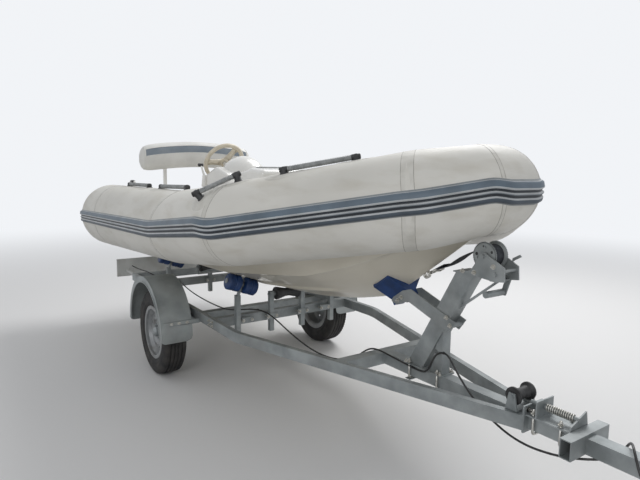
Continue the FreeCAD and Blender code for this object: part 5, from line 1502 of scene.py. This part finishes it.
# %% [markdown]
# A bolted trailer shows how it holds together: U-bolts clamp the post to the drawbar, plates hold the
# roller posts to the beams, bars hold the mudguards, and a spring sits on the drawbar's screw. Bars are
# pipes and plates are slabs, gathered into one piece each, and the repeat tree sets all the bolts.

# %% Clamps and brackets
steel_parts, flat_parts = [], []


def u_bolt(x, half, low, top, reach=16):
    """A round bar bent under the drawbar, with its two threaded ends up through a plate."""
    path = [(x, -half, top), (x, -half, low), (x, half, low), (x, half, top)]
    steel_parts.append(pipe(rounded(path, reach), 5, 12))
    for y in (-half, half):
        bolt(x, y, top - 14, UP)


for x in (1772, 1950):
    u_bolt(x, 38, 408, 505)
    flat_parts.append(slab(oblong(x - 16, x + 16, 404, 409), -48, 48))
for x in (2448, 2560):
    u_bolt(x, 40, 408, 508)
# Columns: x of the beam's middle, width of the beam, where the posts stand across
for beam_x, posts in ((526, (-300, -120, 120, 300)), (-750, (-300, 0, 300))):
    for y in posts:
        behind = beam_x - 22 - 6
        flat_parts.append(slab(oblong(behind, behind + 6, 424, 474),
                               y - 42, y + 42))
        front = beam_x + 22
        flat_parts.append(slab(oblong(front + 30, front + 36, 430, 468),
                               y - 42, y + 42))
        for side in (-1, 1):
            across = y + side * 31
            steel_parts.append(pipe([place(behind - 8, across, 449), place(front + 46, across, 449)], 5, 10))
            bolt(behind, across, 449, AFT)
            bolt(front + 36, across, 449, FORE)
for beam_x, low_x, high_x in ((526, 498, 554), (-750, -778, -722)):
    for side in (-1, 1):
        inner = side * 497
        flat_parts.append(slab(oblong(low_x - 22, low_x, 436, 472),
                               inner - 3 if side > 0 else inner, inner if side > 0 else inner + 3))
        for x in (low_x + 6, high_x - 6):
            bolt(x, side * 527, 462, PORT * side)
            bolt(x, side * 527, 436, PORT * side)
for side in (-1, 1):
    for x in (95, 185):
        bolt(x, side * 527, 448, PORT * side)
    low, high = sorted((side * 572, side * 728))
    for facing in (1, -1):
        stay = [(336, 408), (341, 408), (334, 436), (328, 436)]
        flat_parts.append(slab([(facing * x, z) for x, z in stay], low, high))
        for y in (610, 662, 712):
            bolt(facing * 337.5, side * y, 422, FORE * facing)
    for y in (-38, 38):
        bolt(2423, y, 500, FORE)
for x, z in ((2014, 730), (1992, 762), (1700, 795), (1676, 775)):
    for side in (-1, 1):
        bolt(x, side * 38, z, PORT * side)
for y in (-40, 40):
    for x in (1752, 1968):
        bolt(x, y, 486, UP)
for x in (3300, 3350):
    for side in (-1, 1):
        bolt(x, side * 28, 461, PORT * side)
SPRING_LOW, SPRING_HIGH, SPRING_TURNS, SPRING_STEPS = 2478, 2590, 13, 16
SPRING_RADIUS, SCREW_Z = 13, 520
spring = []
for step in range(SPRING_TURNS * SPRING_STEPS + 1):
    turn = 2 * math.pi * step / SPRING_STEPS
    along = SPRING_LOW + (SPRING_HIGH - SPRING_LOW) * step / (SPRING_TURNS * SPRING_STEPS)
    spring.append(place(along, SPRING_RADIUS * math.cos(turn), SCREW_Z + SPRING_RADIUS * math.sin(turn)))
steel_parts.append(pipe(spring, 2.4, 8))
make_piece("clamp_bars", *gather(steel_parts), ZINC, slot="galvanised")
flats = make_piece("clamp_plates", *gather(flat_parts), GALVANISED, False, slot="galvanised")
bevel(flats, 1.2, 1)
repeated("bolts", BOLT, bolt_spots, ZINC)
print("bolts", len(bolt_spots))

# %% [markdown]
# The light board has a lamp at each end with a red and an amber lens, a blank plate between its two
# screws, and black ties hold the cable to the frame. The lenses are thin plates set on the board's
# lamps with a soft bevel, which catches a highlight as moulded plastic does.

# %% Lamps, plate and ties
BOARD_X, LAMP_DEPTH = -1450, 34
LAMP_OUTER, LAMP_INNER, AMBER_WIDTH = 570, 380, 56
red_parts, amber_parts = [], []
for side in (-1, 1):
    low, high = sorted((side * LAMP_OUTER, side * LAMP_INNER))
    cut = low + AMBER_WIDTH if side < 0 else high - AMBER_WIDTH
    amber = (low + 3, cut - 1) if side < 0 else (cut + 1, high - 3)
    red = (cut + 1, high - 3) if side < 0 else (low + 3, cut - 1)
    for span, parts in ((amber, amber_parts), (red, red_parts)):
        back = BOARD_X - LAMP_DEPTH
        parts.append(slab(oblong(span[0], span[1], 447, 533), back - 5, back + 4, "yz"))
for name, parts, finish in (("lamp_red", red_parts, RED_LENS), ("lamp_amber", amber_parts, AMBER_LENS)):
    lens = make_piece(name, *gather(parts), finish, False, slot="board_grey")
    bevel(lens, 4, 3)
moulded("blank_plate", oblong(-180, 180, 440, 540), BOARD_X - 3, BOARD_X - 1, 0.8, 1, "yz", WHITE_VINYL,
        "board_grey")
tie_parts = []
# Columns: middle of the cable where a tie holds it, way along the cable there
TIES = [((1795, -38.5, 470), FORE), ((1985, -37, 596), FORE), ((532, -200, 492), Vector((0.9, 0.36, 0))),
        ((-772, -312, 488), FORE), ((3110, -34, 503), Vector((0.8, 0.55, 0)))]
TIE_SECTION = [(-1.5, 5.6), (-1.5, 6.6), (1.5, 6.6), (1.5, 5.6)]
for spot, way in TIES:
    way = way.normalized()
    for half in (-2, 2):
        tie_parts.append(turned(place(*spot) + way * half / 1000, way, TIE_SECTION, 20, True))
make_piece("cable_ties", *gather(tie_parts), CABLE_JACKET, slot="black_rubber")
pin_parts = []
plug = place(3203 + 58, -3, 497.3)
for turn in TURNS[:-1:24]:
    spot = plug + (PORT * math.cos(turn) + UP * math.sin(turn)) * 0.009
    pin_parts.append(turned(spot, FORE, [(-2, 1.8), (5, 1.8), (6, 1.2)], 10))
make_piece("plug_pins", *gather(pin_parts), ZINC, slot="black_rubber")
print("ties", len(TIES))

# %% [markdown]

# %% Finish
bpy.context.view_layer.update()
